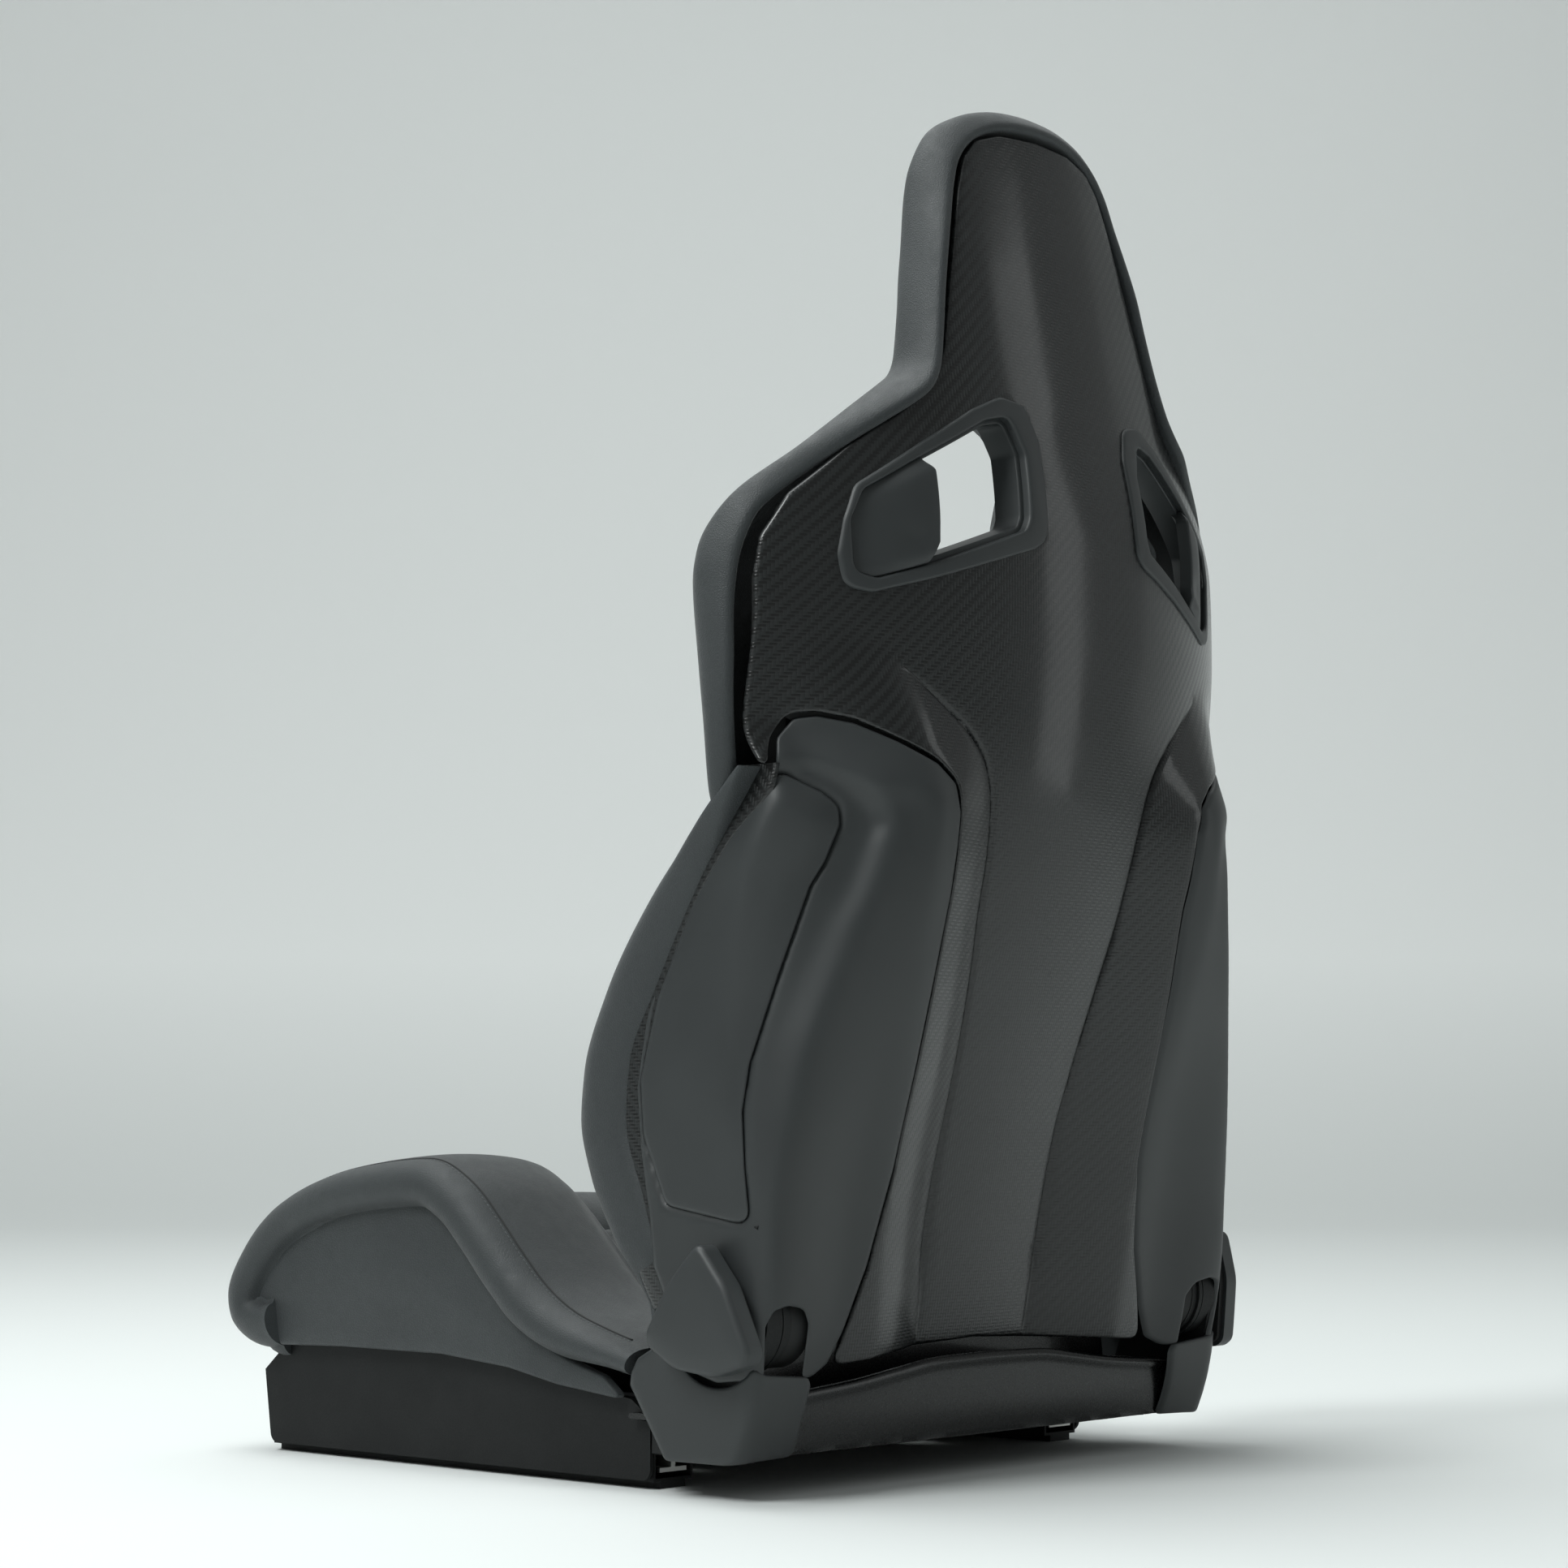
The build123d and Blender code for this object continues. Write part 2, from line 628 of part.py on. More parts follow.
# bezel: a ring that follows the shell's outer face; the guide lines its outer half
bezel_levels = [(z, tuple((x, y + 4.5) for x, y in points)) for z, points in shell_levels]
with BuildPart() as belt_bezel:
    add(wall(bezel_levels, 4).part)
    extrude(belt_prism(11, 1), amount=200, mode=Mode.INTERSECT)
    extrude(belt_prism(1, 1), amount=200, mode=Mode.SUBTRACT)
save_pair(belt_bezel, "belt_bezel")

guide_levels = [(z, tuple((x, y + 2) for x, y in points)) for z, points in shell_levels]
with BuildPart() as belt_guide:
    add(wall(guide_levels, 10).part)
    extrude(belt_prism(0, 1), amount=200, mode=Mode.INTERSECT)
    with BuildSketch(Plane.XZ.offset(-430)):
        with BuildLine():
            Polyline((40, 600), (150, 600), (128, 660), (112, 760), (40, 760), close=True)
        make_face()
    extrude(amount=200, mode=Mode.SUBTRACT)
save_pair(belt_guide, "belt_guide")

# ---- side covers ----------------------------------------------------------------------------
# Open C outline per level, (x, y): inner edge, rear ridge, side corner, front edge.
cover_levels = [
    (79, ((180, 312), (240, 314), (261, 300), (261, 268))),
    (118, ((166, 325), (245, 326), (261, 318), (261, 247))),
    (150, ((154, 335), (248, 331), (261, 322), (261, 244))),
    (217, ((141, 353), (250, 338), (261, 326), (261, 226))),
    (283, ((139, 367), (240, 349), (261, 331), (261, 219))),
    (341, ((139, 380), (223, 359), (258, 338), (261, 240))),
    (400, ((136, 393), (205, 374), (255, 343), (261, 276))),
    (438, ((138, 400), (192, 382), (251, 342), (260, 303))),
    (470, ((146, 401), (196, 378), (246, 340), (257, 322))),
]


def inward(points, thickness):
    """Points moved to the inner face of a C-shaped wall."""
    moved = []
    for index, (x, y) in enumerate(points):
        share = index / (len(points) - 1)
        moved.append((x - thickness * min(1, 2 * share), y - thickness * min(1, 2 - 2 * share)))
    return moved


hinge_pin_radius = 1.6
knuckle_radius = 3.2
lever_hinge_x = skin_x - 2  # the hinge is sunk into the cover
hinge_front = Vector(lever_hinge_x, 240, 193)
hinge_rear = Vector(lever_hinge_x, 315, 181)
hinge_direction = (hinge_rear - hinge_front).normalized()
hinge_length = (hinge_rear - hinge_front).length
with BuildPart() as side_cover:
    for z, points in cover_levels:
        with BuildSketch(Plane.XY.offset(z)):
            with BuildLine():
                Polyline(*points, *reversed(inward(points, skin)), close=True)
            make_face()
    loft(ruled=True)
    # rounded lower end about the hinge, and the notch that clears the recliner
    with BuildSketch(Plane.YZ.offset(200)):
        with Locations((pivot_y, pivot_z - 28)):
            Rectangle(140, 56)
        with Locations((pivot_y, pivot_z)):
            Circle(cover_clearance - 4, mode=Mode.SUBTRACT)
    extrude(amount=70, mode=Mode.SUBTRACT)
    with BuildSketch(Plane.XZ.offset(-250)):
        with Locations((236.5, 104)):
            Rectangle(43, 56)
    extrude(amount=-100, mode=Mode.SUBTRACT)
    with BuildSketch(Plane.YZ.offset(skin_x - 4)):
        with Locations((pivot_y, pivot_z)):
            Circle(9)
    extrude(amount=5, mode=Mode.SUBTRACT)
    # a slot clears the lever's knuckle, and two lugs at its ends carry the hinge pin
    with BuildSketch(Plane(origin=hinge_front - hinge_direction, x_dir=(1, 0, 0), z_dir=hinge_direction)):
        Rectangle(20, 2 * knuckle_radius + 2)
    extrude(amount=hinge_length + 2, mode=Mode.SUBTRACT)
    for along in (-5, hinge_length + 1):
        centre = hinge_front + hinge_direction * along
        with BuildSketch(Plane(origin=centre, x_dir=(1, 0, 0), z_dir=hinge_direction)):
            with Locations((-2, 0)):
                Rectangle(8, 6)
        extrude(amount=4)
    with BuildSketch(Plane(origin=hinge_front - hinge_direction * 5, z_dir=hinge_direction)):
        Circle(hinge_pin_radius)
    extrude(amount=hinge_length + 10, mode=Mode.SUBTRACT)
save_pair(side_cover, "side_cover")

pin_start = hinge_front - hinge_direction * 5
pin_end = hinge_rear + hinge_direction * 5
with BuildPart() as lever_hinge_pins:
    add(rod(tuple(pin_start), tuple(pin_end), hinge_pin_radius).part)
    mirror(about=Plane.YZ)
save(lever_hinge_pins, "lever_hinge_pins")

# fold lever: a long paddle on the side cover, hinged along its lower edge
lever_outline = [(243, 194), (217, 252), (217, 288), (235, 337), (262, 385), (299, 438), (332, 470),
                 (354, 466), (350, 440), (336, 372), (322, 309), (311, 250), (313, 183)]
with BuildPart() as fold_lever:
    with BuildSketch(Plane.YZ.offset(skin_x + 0.5)):
        with BuildLine():
            Polyline(*lever_outline, close=True)
        make_face()
        fillet(vertices().filter_by_position(Axis.Z, 400, 480), 6)
    extrude(amount=3)
    with BuildSketch(Plane(origin=hinge_front, z_dir=hinge_direction)):
        Circle(knuckle_radius)
    extrude(amount=hinge_length)
    with BuildSketch(Plane(origin=hinge_front, z_dir=hinge_direction)):
        Circle(hinge_pin_radius + running_gap)
    extrude(amount=hinge_length, mode=Mode.SUBTRACT)
save_pair(fold_lever, "fold_lever")

# ---- backrest pads ------------------------------------------------------------------------
# Half outlines, (x, y): back of the pad from the middle out, round the rim, front to the middle.
def pad_level(z, middle, rim, rim_rear, rim_front, wing, wing_y, front):
    """One level of the head and shoulder pad; middle is the shell's rearmost y there."""
    inner = min(0.8 * rim, rim - 26)
    return (z, [(0, middle - pad_gap), (0.5 * inner, middle - pad_gap - bow * (0.5 * inner) ** 2),
                (inner, middle - pad_gap - 8 - bow * inner ** 2), (rim - 10, rim_rear - 5),
                (rim, rim_rear - 4), (rim + 1, rim_front), (wing, wing_y),
                (0.55 * wing, 0.45 * wing_y + 0.55 * front), (0, front)])


pad_levels = [
    pad_level(478, 391, 273, 290, 284, 232, 226, 325),
    pad_level(530, 398, 274, 300, 280, 232, 214, 330),
    pad_level(600, 404, 275, 303, 277, 228, 222, 333),
    pad_level(637, 404, 270, 308, 285, 215, 240, 332),
    pad_level(669, 402, 252, 317, 300, 190, 268, 328),
    pad_level(704, 396, 212, 340, 320, 150, 290, 322),
    pad_level(743, 390, 159, 364, 333, 100, 300, 314),
    pad_level(762, 387, 138, 366, 332, 90, 296, 306),
    pad_level(806, 379, 125, 360, 326, 84, 286, 298),
    pad_level(857, 369, 113, 355, 320, 78, 284, 292),
    pad_level(906, 360, 98, 347, 318, 68, 288, 294),
    pad_level(945, 366, 73, 344, 330, 50, 304, 306),
    pad_level(963, 380, 40, 342, 338, 28, 318, 318),
]
with BuildPart() as back_upper_pad:
    for lower, upper in zip(pad_levels, pad_levels[1:]):
        for z, points in (lower, upper):
            with BuildSketch(Plane.XY.offset(z)):
                with BuildLine():
                    Polyline(*[(-x, y) for x, y in reversed(points[1:-1])], *points, close=True)
                make_face()
        loft(ruled=True)
    for side in (-1, 1):
        extrude(belt_prism(3, side), amount=300, mode=Mode.SUBTRACT)
save(back_upper_pad, "back_upper_pad")

back_centre_outline = [(246, 128), (228, 150), (222, 210), (238, 290), (268, 380), (298, 474), (318, 474),
                       (306, 380), (288, 290), (268, 210), (262, 128)]
save(slab(back_centre_outline, -162, 162), "back_centre_pad")

back_bolster_outline = [(232, 150), (216, 128), (204, 140), (181, 172), (162, 211), (151, 250),
                        (154, 283), (177, 338), (215, 398), (252, 441), (270, 463), (281, 465),
                        (277, 440), (254, 387), (229, 337), (210, 290), (209, 250), (229, 193)]
save_pair(slab(back_bolster_outline, 168, 262.5), "back_bolster")

# studs bonded to the inner face of the shell
stud_levels = ((560, 392.5), (880, 358.4))
with BuildPart() as shell_studs:
    for z, inner_y in stud_levels:
        with BuildSketch(Plane.XZ.offset(-inner_y)):
            with Locations((-18, z), (18, z)):
                Circle(9)
        extrude(amount=1.5)
        with BuildSketch(Plane.XZ.offset(-inner_y)):
            with Locations((-18, z), (18, z)):
                Circle(3)
        extrude(amount=7)
save(shell_studs, "shell_studs")
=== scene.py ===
"""Racing seat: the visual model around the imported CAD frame.

Shapes are worked out in millimetres in the row frame (+X sitter's left, -Y forward, +Z up) and turned
into metres when a mesh is made. Left pieces are drawn and mirrored.
"""
import math

import bmesh
import bpy
import numpy as np
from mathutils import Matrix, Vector
from mathutils.bvhtree import BVHTree
from mathutils.geometry import delaunay_2d_cdt


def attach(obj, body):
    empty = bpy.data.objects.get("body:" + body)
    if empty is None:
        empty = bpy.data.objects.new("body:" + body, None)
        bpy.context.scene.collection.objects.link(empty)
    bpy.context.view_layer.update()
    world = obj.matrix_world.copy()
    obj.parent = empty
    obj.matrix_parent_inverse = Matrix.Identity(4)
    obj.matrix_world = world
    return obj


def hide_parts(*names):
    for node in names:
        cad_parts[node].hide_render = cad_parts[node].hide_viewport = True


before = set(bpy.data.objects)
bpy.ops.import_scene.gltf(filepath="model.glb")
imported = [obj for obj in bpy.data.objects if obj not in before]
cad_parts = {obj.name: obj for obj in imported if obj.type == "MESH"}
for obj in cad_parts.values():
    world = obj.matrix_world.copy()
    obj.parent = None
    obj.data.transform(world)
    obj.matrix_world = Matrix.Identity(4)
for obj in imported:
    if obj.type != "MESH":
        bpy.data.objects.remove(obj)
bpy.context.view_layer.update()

MM = 0.001


# ---- curves and surfaces ----
def curve(xs, ys):
    """Smooth curve through (x, y) pairs that never overshoots them."""
    xs, ys = np.asarray(xs, float), np.asarray(ys, float)
    h = np.diff(xs)
    s = np.diff(ys) / h
    m = np.zeros(len(xs))
    for i in range(1, len(xs) - 1):
        if s[i - 1] * s[i] > 0:
            a, b = 2 * h[i] + h[i - 1], h[i] + 2 * h[i - 1]
            m[i] = (a + b) / (a / s[i - 1] + b / s[i])
    m[0], m[-1] = s[0], s[-1]

    def at(x):
        x = np.clip(np.asarray(x, float), xs[0], xs[-1])
        i = np.clip(np.searchsorted(xs, x, side="right") - 1, 0, len(h) - 1)
        t = (x - xs[i]) / h[i]
        low = (1 + 2 * t) * (1 - t) ** 2 * ys[i] + t * (1 - t) ** 2 * h[i] * m[i]
        high = t * t * (3 - 2 * t) * ys[i + 1] + t * t * (t - 1) * h[i] * m[i + 1]
        return low + high
    return at


def ease(a, b, t):
    """0 before a, 1 after b, smooth between."""
    s = np.clip((np.asarray(t, float) - a) / (b - a), 0, 1)
    return s * s * (3 - 2 * s)


def spline(points, count, closed=False):
    """Catmull-Rom curve through the points, sampled evenly by length."""
    p = np.asarray(points, float)
    n = len(p)
    if closed:
        ring = np.concatenate([p[-1:], p, p[:2]])
    else:
        ring = np.concatenate([2 * p[:1] - p[1:2], p, 2 * p[-1:] - p[-2:-1]])
    spans = n if closed else n - 1
    dense = []
    t = np.linspace(0, 1, 24, endpoint=False)[:, None]
    for i in range(spans):
        a, b, c, d = ring[i:i + 4]
        dense.append(0.5 * (2 * b + (c - a) * t + (2 * a - 5 * b + 4 * c - d) * t ** 2
                            + (3 * b - a - 3 * c + d) * t ** 3))
    dense = np.concatenate(dense + [p[:1] if closed else p[-1:]])
    length = np.concatenate([[0], np.cumsum(np.linalg.norm(np.diff(dense, axis=0), axis=1))])
    want = np.linspace(0, length[-1], count, endpoint=not closed)
    return np.stack([np.interp(want, length, dense[:, k]) for k in range(p.shape[1])], 1)


def rounded(corners, radius, step=2.0):
    """Closed 2-D outline with its corners rounded; a corner may carry its own radius as a third value."""
    p = [np.asarray(c[:2], float) for c in corners]
    radii = [c[2] if len(c) > 2 else radius for c in corners]
    out = []
    for i, b in enumerate(p):
        a, c = p[i - 1], p[(i + 1) % len(p)]
        u, v = (a - b) / np.linalg.norm(a - b), (c - b) / np.linalg.norm(c - b)
        half = math.acos(max(-0.9999, min(0.9999, float(u @ v)))) / 2
        cut = min(radii[i] / math.tan(half), 0.48 * np.linalg.norm(a - b), 0.48 * np.linalg.norm(c - b))
        t = np.linspace(0, 1, 9)[:, None]
        out.append((1 - t) ** 2 * (b + u * cut) + 2 * t * (1 - t) * b + t ** 2 * (b + v * cut))
    dense = np.concatenate(out + [out[0][:1]])
    length = np.concatenate([[0], np.cumsum(np.linalg.norm(np.diff(dense, axis=0), axis=1))])
    count = max(12, int(length[-1] / step))
    want = np.linspace(0, length[-1], count, endpoint=False)
    return np.stack([np.interp(want, length, dense[:, k]) for k in (0, 1)], 1)


def area(loop):
    """Area of a closed loop, positive when it runs anticlockwise."""
    x, y = loop[:, 0], loop[:, 1]
    return 0.5 * float(np.sum(x * np.roll(y, -1) - np.roll(x, -1) * y))


def inset(loop, distance):
    """Loop moved to its left by a distance (inward when it runs anticlockwise)."""
    tangent = np.roll(loop, -1, 0) - np.roll(loop, 1, 0)
    tangent /= np.linalg.norm(tangent, axis=1)[:, None] + 1e-9
    return loop + distance * np.stack([-tangent[:, 1], tangent[:, 0]], 1)


def inside(points, loop):
    """Which points lie inside a closed loop."""
    x, y = points[:, 0][:, None], points[:, 1][:, None]
    x0, y0 = loop[:, 0], loop[:, 1]
    x1, y1 = np.roll(x0, -1), np.roll(y0, -1)
    crosses = ((y0 > y) != (y1 > y)) & (x < (x1 - x0) * (y - y0) / (y1 - y0 + 1e-12) + x0)
    return crosses.sum(1) % 2 == 1


def distance(points, path):
    """Shortest distance from each point to the vertices of a path."""
    out = np.full(len(points), 1e9)
    for start in range(0, len(points), 2000):
        part = points[start:start + 2000]
        out[start:start + 2000] = np.sqrt(((part[:, None, :] - path[None]) ** 2).sum(2)).min(1)
    return out


# ---- meshes ----
def make(name, points, faces, sharp=None, mirror=False):
    """Object from points in millimetres; sharp is an angle in degrees above which edges stay hard."""
    points = np.asarray(points, float) * MM
    if mirror:
        points = points * (-1, 1, 1)
        faces = [tuple(reversed(f)) for f in faces]
    mesh = bpy.data.meshes.new(name)
    mesh.from_pydata(points.tolist(), [], [tuple(int(i) for i in f) for f in faces])
    mesh.validate()
    bm = bmesh.new()
    bm.from_mesh(mesh)
    bmesh.ops.remove_doubles(bm, verts=bm.verts, dist=2e-6)
    bmesh.ops.dissolve_degenerate(bm, edges=bm.edges, dist=1e-6)
    bmesh.ops.recalc_face_normals(bm, faces=bm.faces)
    bm.to_mesh(mesh)
    bm.free()
    obj = bpy.data.objects.new(name, mesh)
    bpy.context.scene.collection.objects.link(obj)
    mesh.shade_smooth()
    if sharp:
        mesh.set_sharp_from_angle(angle=math.radians(sharp))
    return obj


def lattice_faces(rows, columns):
    """Quads of a rows by columns lattice of points whose columns join up."""
    faces = []
    for i in range(rows - 1):
        for j in range(columns):
            k = (j + 1) % columns
            faces.append((i * columns + j, i * columns + k, (i + 1) * columns + k, (i + 1) * columns + j))
    return faces


def loft(name, sections, mirror=False, sharp=None):
    """Closed solid through closed sections, (n, m, 3), with its ends filled by fans."""
    sections = np.asarray(sections, float)
    n, m, _ = sections.shape
    points = sections.reshape(-1, 3)
    faces = lattice_faces(n, m)
    ends = np.stack([sections[0].mean(0), sections[-1].mean(0)])
    points = np.concatenate([points, ends])
    for j in range(m):
        k = (j + 1) % m
        faces.append((k, j, n * m))
        faces.append(((n - 1) * m + j, (n - 1) * m + k, n * m + 1))
    return make(name, points, faces, mirror=mirror, sharp=sharp)


def refine(sections, rows, columns):
    """Closed sections resampled smoothly both ways."""
    wide = np.stack([spline(section, columns, closed=True) for section in sections])
    return np.stack([spline(wide[:, j], rows) for j in range(columns)], 1)


def fill(loops, cell, guides=()):
    """Triangles between an outer loop and its holes, with a regular grid of points inside."""
    outer = loops[0]
    lo, hi = outer.min(0), outer.max(0)
    gx, gy = np.meshgrid(np.arange(lo[0] + cell / 2, hi[0], cell), np.arange(lo[1] + cell / 2, hi[1], cell))
    grid = np.stack([gx.ravel(), gy.ravel()], 1)
    keep = inside(grid, outer)
    for hole in loops[1:]:
        keep &= ~inside(grid, hole)
    grid = grid[keep]
    for path in list(loops) + list(guides):
        grid = grid[distance(grid, path) > 0.62 * cell]
    points, edges = [], []
    for loop in loops:
        start = sum(len(p) for p in points)
        edges += [(start + i, start + (i + 1) % len(loop)) for i in range(len(loop))]
        points.append(loop)
    for path in guides:
        start = sum(len(p) for p in points)
        edges += [(start + i, start + i + 1) for i in range(len(path) - 1)]
        points.append(path)
    points = np.concatenate(points + [grid])
    verts, _, tris, origin, _, _ = delaunay_2d_cdt([Vector(p) for p in points], edges, [], 1, 1e-5)
    verts = np.array([tuple(v) for v in verts])
    centre = np.array([verts[list(t)].mean(0) for t in tris])
    good = inside(centre, outer)
    for hole in loops[1:]:
        good &= ~inside(centre, hole)
    tris = [t for t, g in zip(tris, good) if g]
    index = np.full(len(points), -1)
    for new, olds in enumerate(origin):
        for old in olds:
            index[old] = new
    return verts, tris, index


def panel(name, loops, surface, up, thickness, radius, cell, guides=(), mirror=False, sharp=40, steps=4):
    """Moulded sheet over a surface.

    loops are 2-D outlines (the outer one first, then holes); surface turns 2-D points into 3-D ones; up
    points out of the sheet. Its edges are rounded with the given radius and its back is closed.
    """
    loops = [loop if (area(loop) > 0) == (k == 0) else loop[::-1] for k, loop in enumerate(loops)]
    up = np.asarray(up, float)
    inner = [inset(loop, radius) for loop in loops]
    flat, tris, index = fill(inner, cell, guides)
    face = surface(flat)
    points = [face, face - up * thickness]
    faces = [tuple(t) for t in tris]
    base = len(face)
    faces += [tuple(base + i for i in reversed(t)) for t in tris]
    total = 2 * base
    start = 0
    for loop, core in zip(loops, inner):
        count = len(loop)
        top_ring = [int(index[start + i]) for i in range(count)]
        low_ring = [base + i for i in top_ring]
        start += count
        rings = [top_ring]
        for k in range(1, steps + 1):
            turn = math.pi / 2 * k / steps
            at = surface(inset(loop, radius * (1 - math.sin(turn))))
            points.append(at - up * radius * (1 - math.cos(turn)))
            rings.append(list(range(total, total + count)))
            total += count
        points.append(surface(loop) - up * thickness)
        rings.append(list(range(total, total + count)))
        total += count
        rings.append(low_ring)
        for a, b in zip(rings, rings[1:]):
            faces += [(a[i], b[i], b[(i + 1) % count], a[(i + 1) % count]) for i in range(count)]
    return make(name, np.concatenate(points), faces, mirror=mirror, sharp=sharp)


def tube(name, path, radius, sides=8):
    """Round cord along a path."""
    tangent = np.gradient(path, axis=0)
    tangent /= np.linalg.norm(tangent, axis=1)[:, None] + 1e-9
    turn = np.linspace(0, 2 * math.pi, sides, endpoint=False)
    rows = []
    side = np.cross(tangent[0], (0.31, 0.17, 0.93))
    for p, t in zip(path, tangent):
        side = side - t * (side @ t)
        side /= np.linalg.norm(side)
        other = np.cross(t, side)
        rows.append(p + radius * (np.outer(np.cos(turn), side) + np.outer(np.sin(turn), other)))
    return loft(name, rows)


def apply_modifiers(obj):
    """Bake an object's modifiers into its mesh."""
    graph = bpy.context.evaluated_depsgraph_get()
    mesh = bpy.data.meshes.new_from_object(obj.evaluated_get(graph))
    obj.modifiers.clear()
    obj.data = mesh
    return obj


def cut(obj, cutter):
    """Remove the cutter's volume from an object, and then the cutter."""
    step = obj.modifiers.new("cut", "BOOLEAN")
    step.operation = "DIFFERENCE"
    step.solver = "MANIFOLD"
    step.object = cutter
    bpy.context.view_layer.update()
    apply_modifiers(obj)
    bpy.data.objects.remove(cutter)
    return obj


def join(objs):
    """One object from several; the first keeps its name."""
    bpy.ops.object.select_all(action="DESELECT")
    for o in objs:
        o.select_set(True)
    bpy.context.view_layer.objects.active = objs[0]
    bpy.ops.object.join()
    return objs[0]


# ---- materials ----
class Nodes:
    """Short way to write a material's node tree."""

    def __init__(self, name):
        self.material = bpy.data.materials.new(name)
        self.material.use_nodes = True
        self.tree = self.material.node_tree
        self.shader = self.tree.nodes["Principled BSDF"]
        self.place = self.tree.nodes.new("ShaderNodeTexCoord").outputs["Object"]

    def put(self, socket, value):
        if hasattr(value, "is_output"):
            self.tree.links.new(value, socket)
        else:
            socket.default_value = value

    def math(self, kind, *values):
        node = self.tree.nodes.new("ShaderNodeMath")
        node.operation = kind
        for socket, value in zip(node.inputs, values):
            self.put(socket, value)
        return node.outputs[0]

    def noise(self, scale, detail=3.0, rough=0.5):
        node = self.tree.nodes.new("ShaderNodeTexNoise")
        self.put(node.inputs["Vector"], self.place)
        self.put(node.inputs["Scale"], scale)
        self.put(node.inputs["Detail"], detail)
        self.put(node.inputs["Roughness"], rough)
        return node.outputs["Fac"]

    def cell_edges(self, scale):
        """Distance to the nearest border of a cell pattern."""
        node = self.tree.nodes.new("ShaderNodeTexVoronoi")
        node.feature = "DISTANCE_TO_EDGE"
        self.put(node.inputs["Vector"], self.place)
        self.put(node.inputs["Scale"], scale)
        return node.outputs["Distance"]

    def range(self, value, low, high, to_low, to_high):
        node = self.tree.nodes.new("ShaderNodeMapRange")
        self.put(node.inputs["Value"], value)
        for key, number in (("From Min", low), ("From Max", high), ("To Min", to_low), ("To Max", to_high)):
            node.inputs[key].default_value = number
        return node.outputs["Result"]

    def mix(self, share, a, b):
        node = self.tree.nodes.new("ShaderNodeMix")
        node.data_type = "RGBA"
        self.put(node.inputs["Factor"], share)
        self.put(node.inputs["A"], (*a, 1) if isinstance(a, tuple) else a)
        self.put(node.inputs["B"], (*b, 1) if isinstance(b, tuple) else b)
        return node.outputs["Result"]

    def bump(self, height, depth, strength=1.0, normal=None):
        node = self.tree.nodes.new("ShaderNodeBump")
        self.put(node.inputs["Height"], height)
        node.inputs["Distance"].default_value = depth
        node.inputs["Strength"].default_value = strength
        if normal is not None:
            self.put(node.inputs["Normal"], normal)
        return node.outputs["Normal"]

    def axes(self):
        """The place's x, y and z."""
        part = self.tree.nodes.new("ShaderNodeSeparateXYZ")
        self.put(part.inputs[0], self.place)
        return part.outputs

    def edge_wear_and_sheen(self):
        """1 along outward edges, 0 elsewhere; it marks edge wear on plastic and a painted sheen on leather
        edges.
        """
        sharpness = self.tree.nodes.new("ShaderNodeNewGeometry").outputs["Pointiness"]
        return self.range(sharpness, 0.505, 0.56, 0, 1)

    def finish(self, colour, roughness, normal=None, **extra):
        self.put(self.shader.inputs["Base Color"], (*colour, 1) if isinstance(colour, tuple) else colour)
        self.put(self.shader.inputs["Roughness"], roughness)
        if normal is not None:
            self.put(self.shader.inputs["Normal"], normal)
        for key, value in extra.items():
            self.put(self.shader.inputs[key.replace("_", " ")], value)
        return self.material


HOLES_PER_METRE = 190.0           # of the perforated leather


def leather(name, dark, light, perforated=False):
    """Fine pebbled upholstery leather, painted lighter along its outward edges as a painted sheen where it is
    stretched.
    """
    n = Nodes(name)
    pebble = n.cell_edges(620)
    grain = n.range(pebble, 0.0, 0.28, 0.0, 1.0)
    crease = n.noise(95, 4.0, 0.6)
    broad = n.noise(7, 2.0)
    height = n.math("ADD", grain, n.math("MULTIPLY", crease, 0.9))
    normal = n.bump(height, 0.00022, 0.55)
    tone = n.mix(n.range(broad, 0.35, 0.68, 0.0, 1.0), dark, light)
    tone = n.mix(n.range(grain, 0.0, 0.5, 0.45, 0.0), tone, tuple(0.55 * c for c in dark))
    # painted sheen: outward edges painted lighter where the leather is stretched
    tone = n.mix(n.math("MULTIPLY", n.edge_wear_and_sheen(), 0.35), tone, tuple(1.6 * c for c in light))
    rough = n.range(crease, 0.3, 0.7, 0.50, 0.62)
    if perforated:
        x, y, z = n.axes()
        across = n.math("MULTIPLY", x, HOLES_PER_METRE)
        along = n.math("MULTIPLY", n.math("ADD", z, n.math("MULTIPLY", y, -0.9)), HOLES_PER_METRE)
        shifted = n.math("ADD", across, n.math("MULTIPLY", n.math("FLOOR", along), 0.5))
        u = n.math("SUBTRACT", n.math("FRACT", shifted), 0.5)
        v = n.math("SUBTRACT", n.math("FRACT", along), 0.5)
        away = n.math("SQRT", n.math("ADD", n.math("MULTIPLY", u, u), n.math("MULTIPLY", v, v)))
        hole = n.range(away, 0.13, 0.18, 1.0, 0.0)
        tone = n.mix(hole, tone, (0.004, 0.004, 0.004))
        normal = n.bump(n.math("SUBTRACT", 1.0, hole), 0.0005, 0.8, normal)
    return n.finish(tone, rough, normal, Sheen_Weight=0.12, Sheen_Roughness=0.5, Specular_IOR_Level=0.42)


def moulded(name, dark, light, rough):
    """Satin moulded plastic with a fine spark-eroded texture."""
    n = Nodes(name)
    fine = n.noise(2600, 2.0)
    broad = n.noise(11, 3.0)
    normal = n.bump(fine, 0.00006, 0.35)
    tone = n.mix(n.range(broad, 0.3, 0.7, 0.0, 1.0), dark, light)
    tone = n.mix(n.math("MULTIPLY", n.edge_wear_and_sheen(), 0.3), tone, tuple(1.9 * c for c in light))
    roughness = n.math("ADD", n.range(broad, 0.3, 0.7, rough - 0.03, rough + 0.05),
                       n.math("MULTIPLY", fine, 0.05))
    return n.finish(tone, roughness, normal, Specular_IOR_Level=0.5)


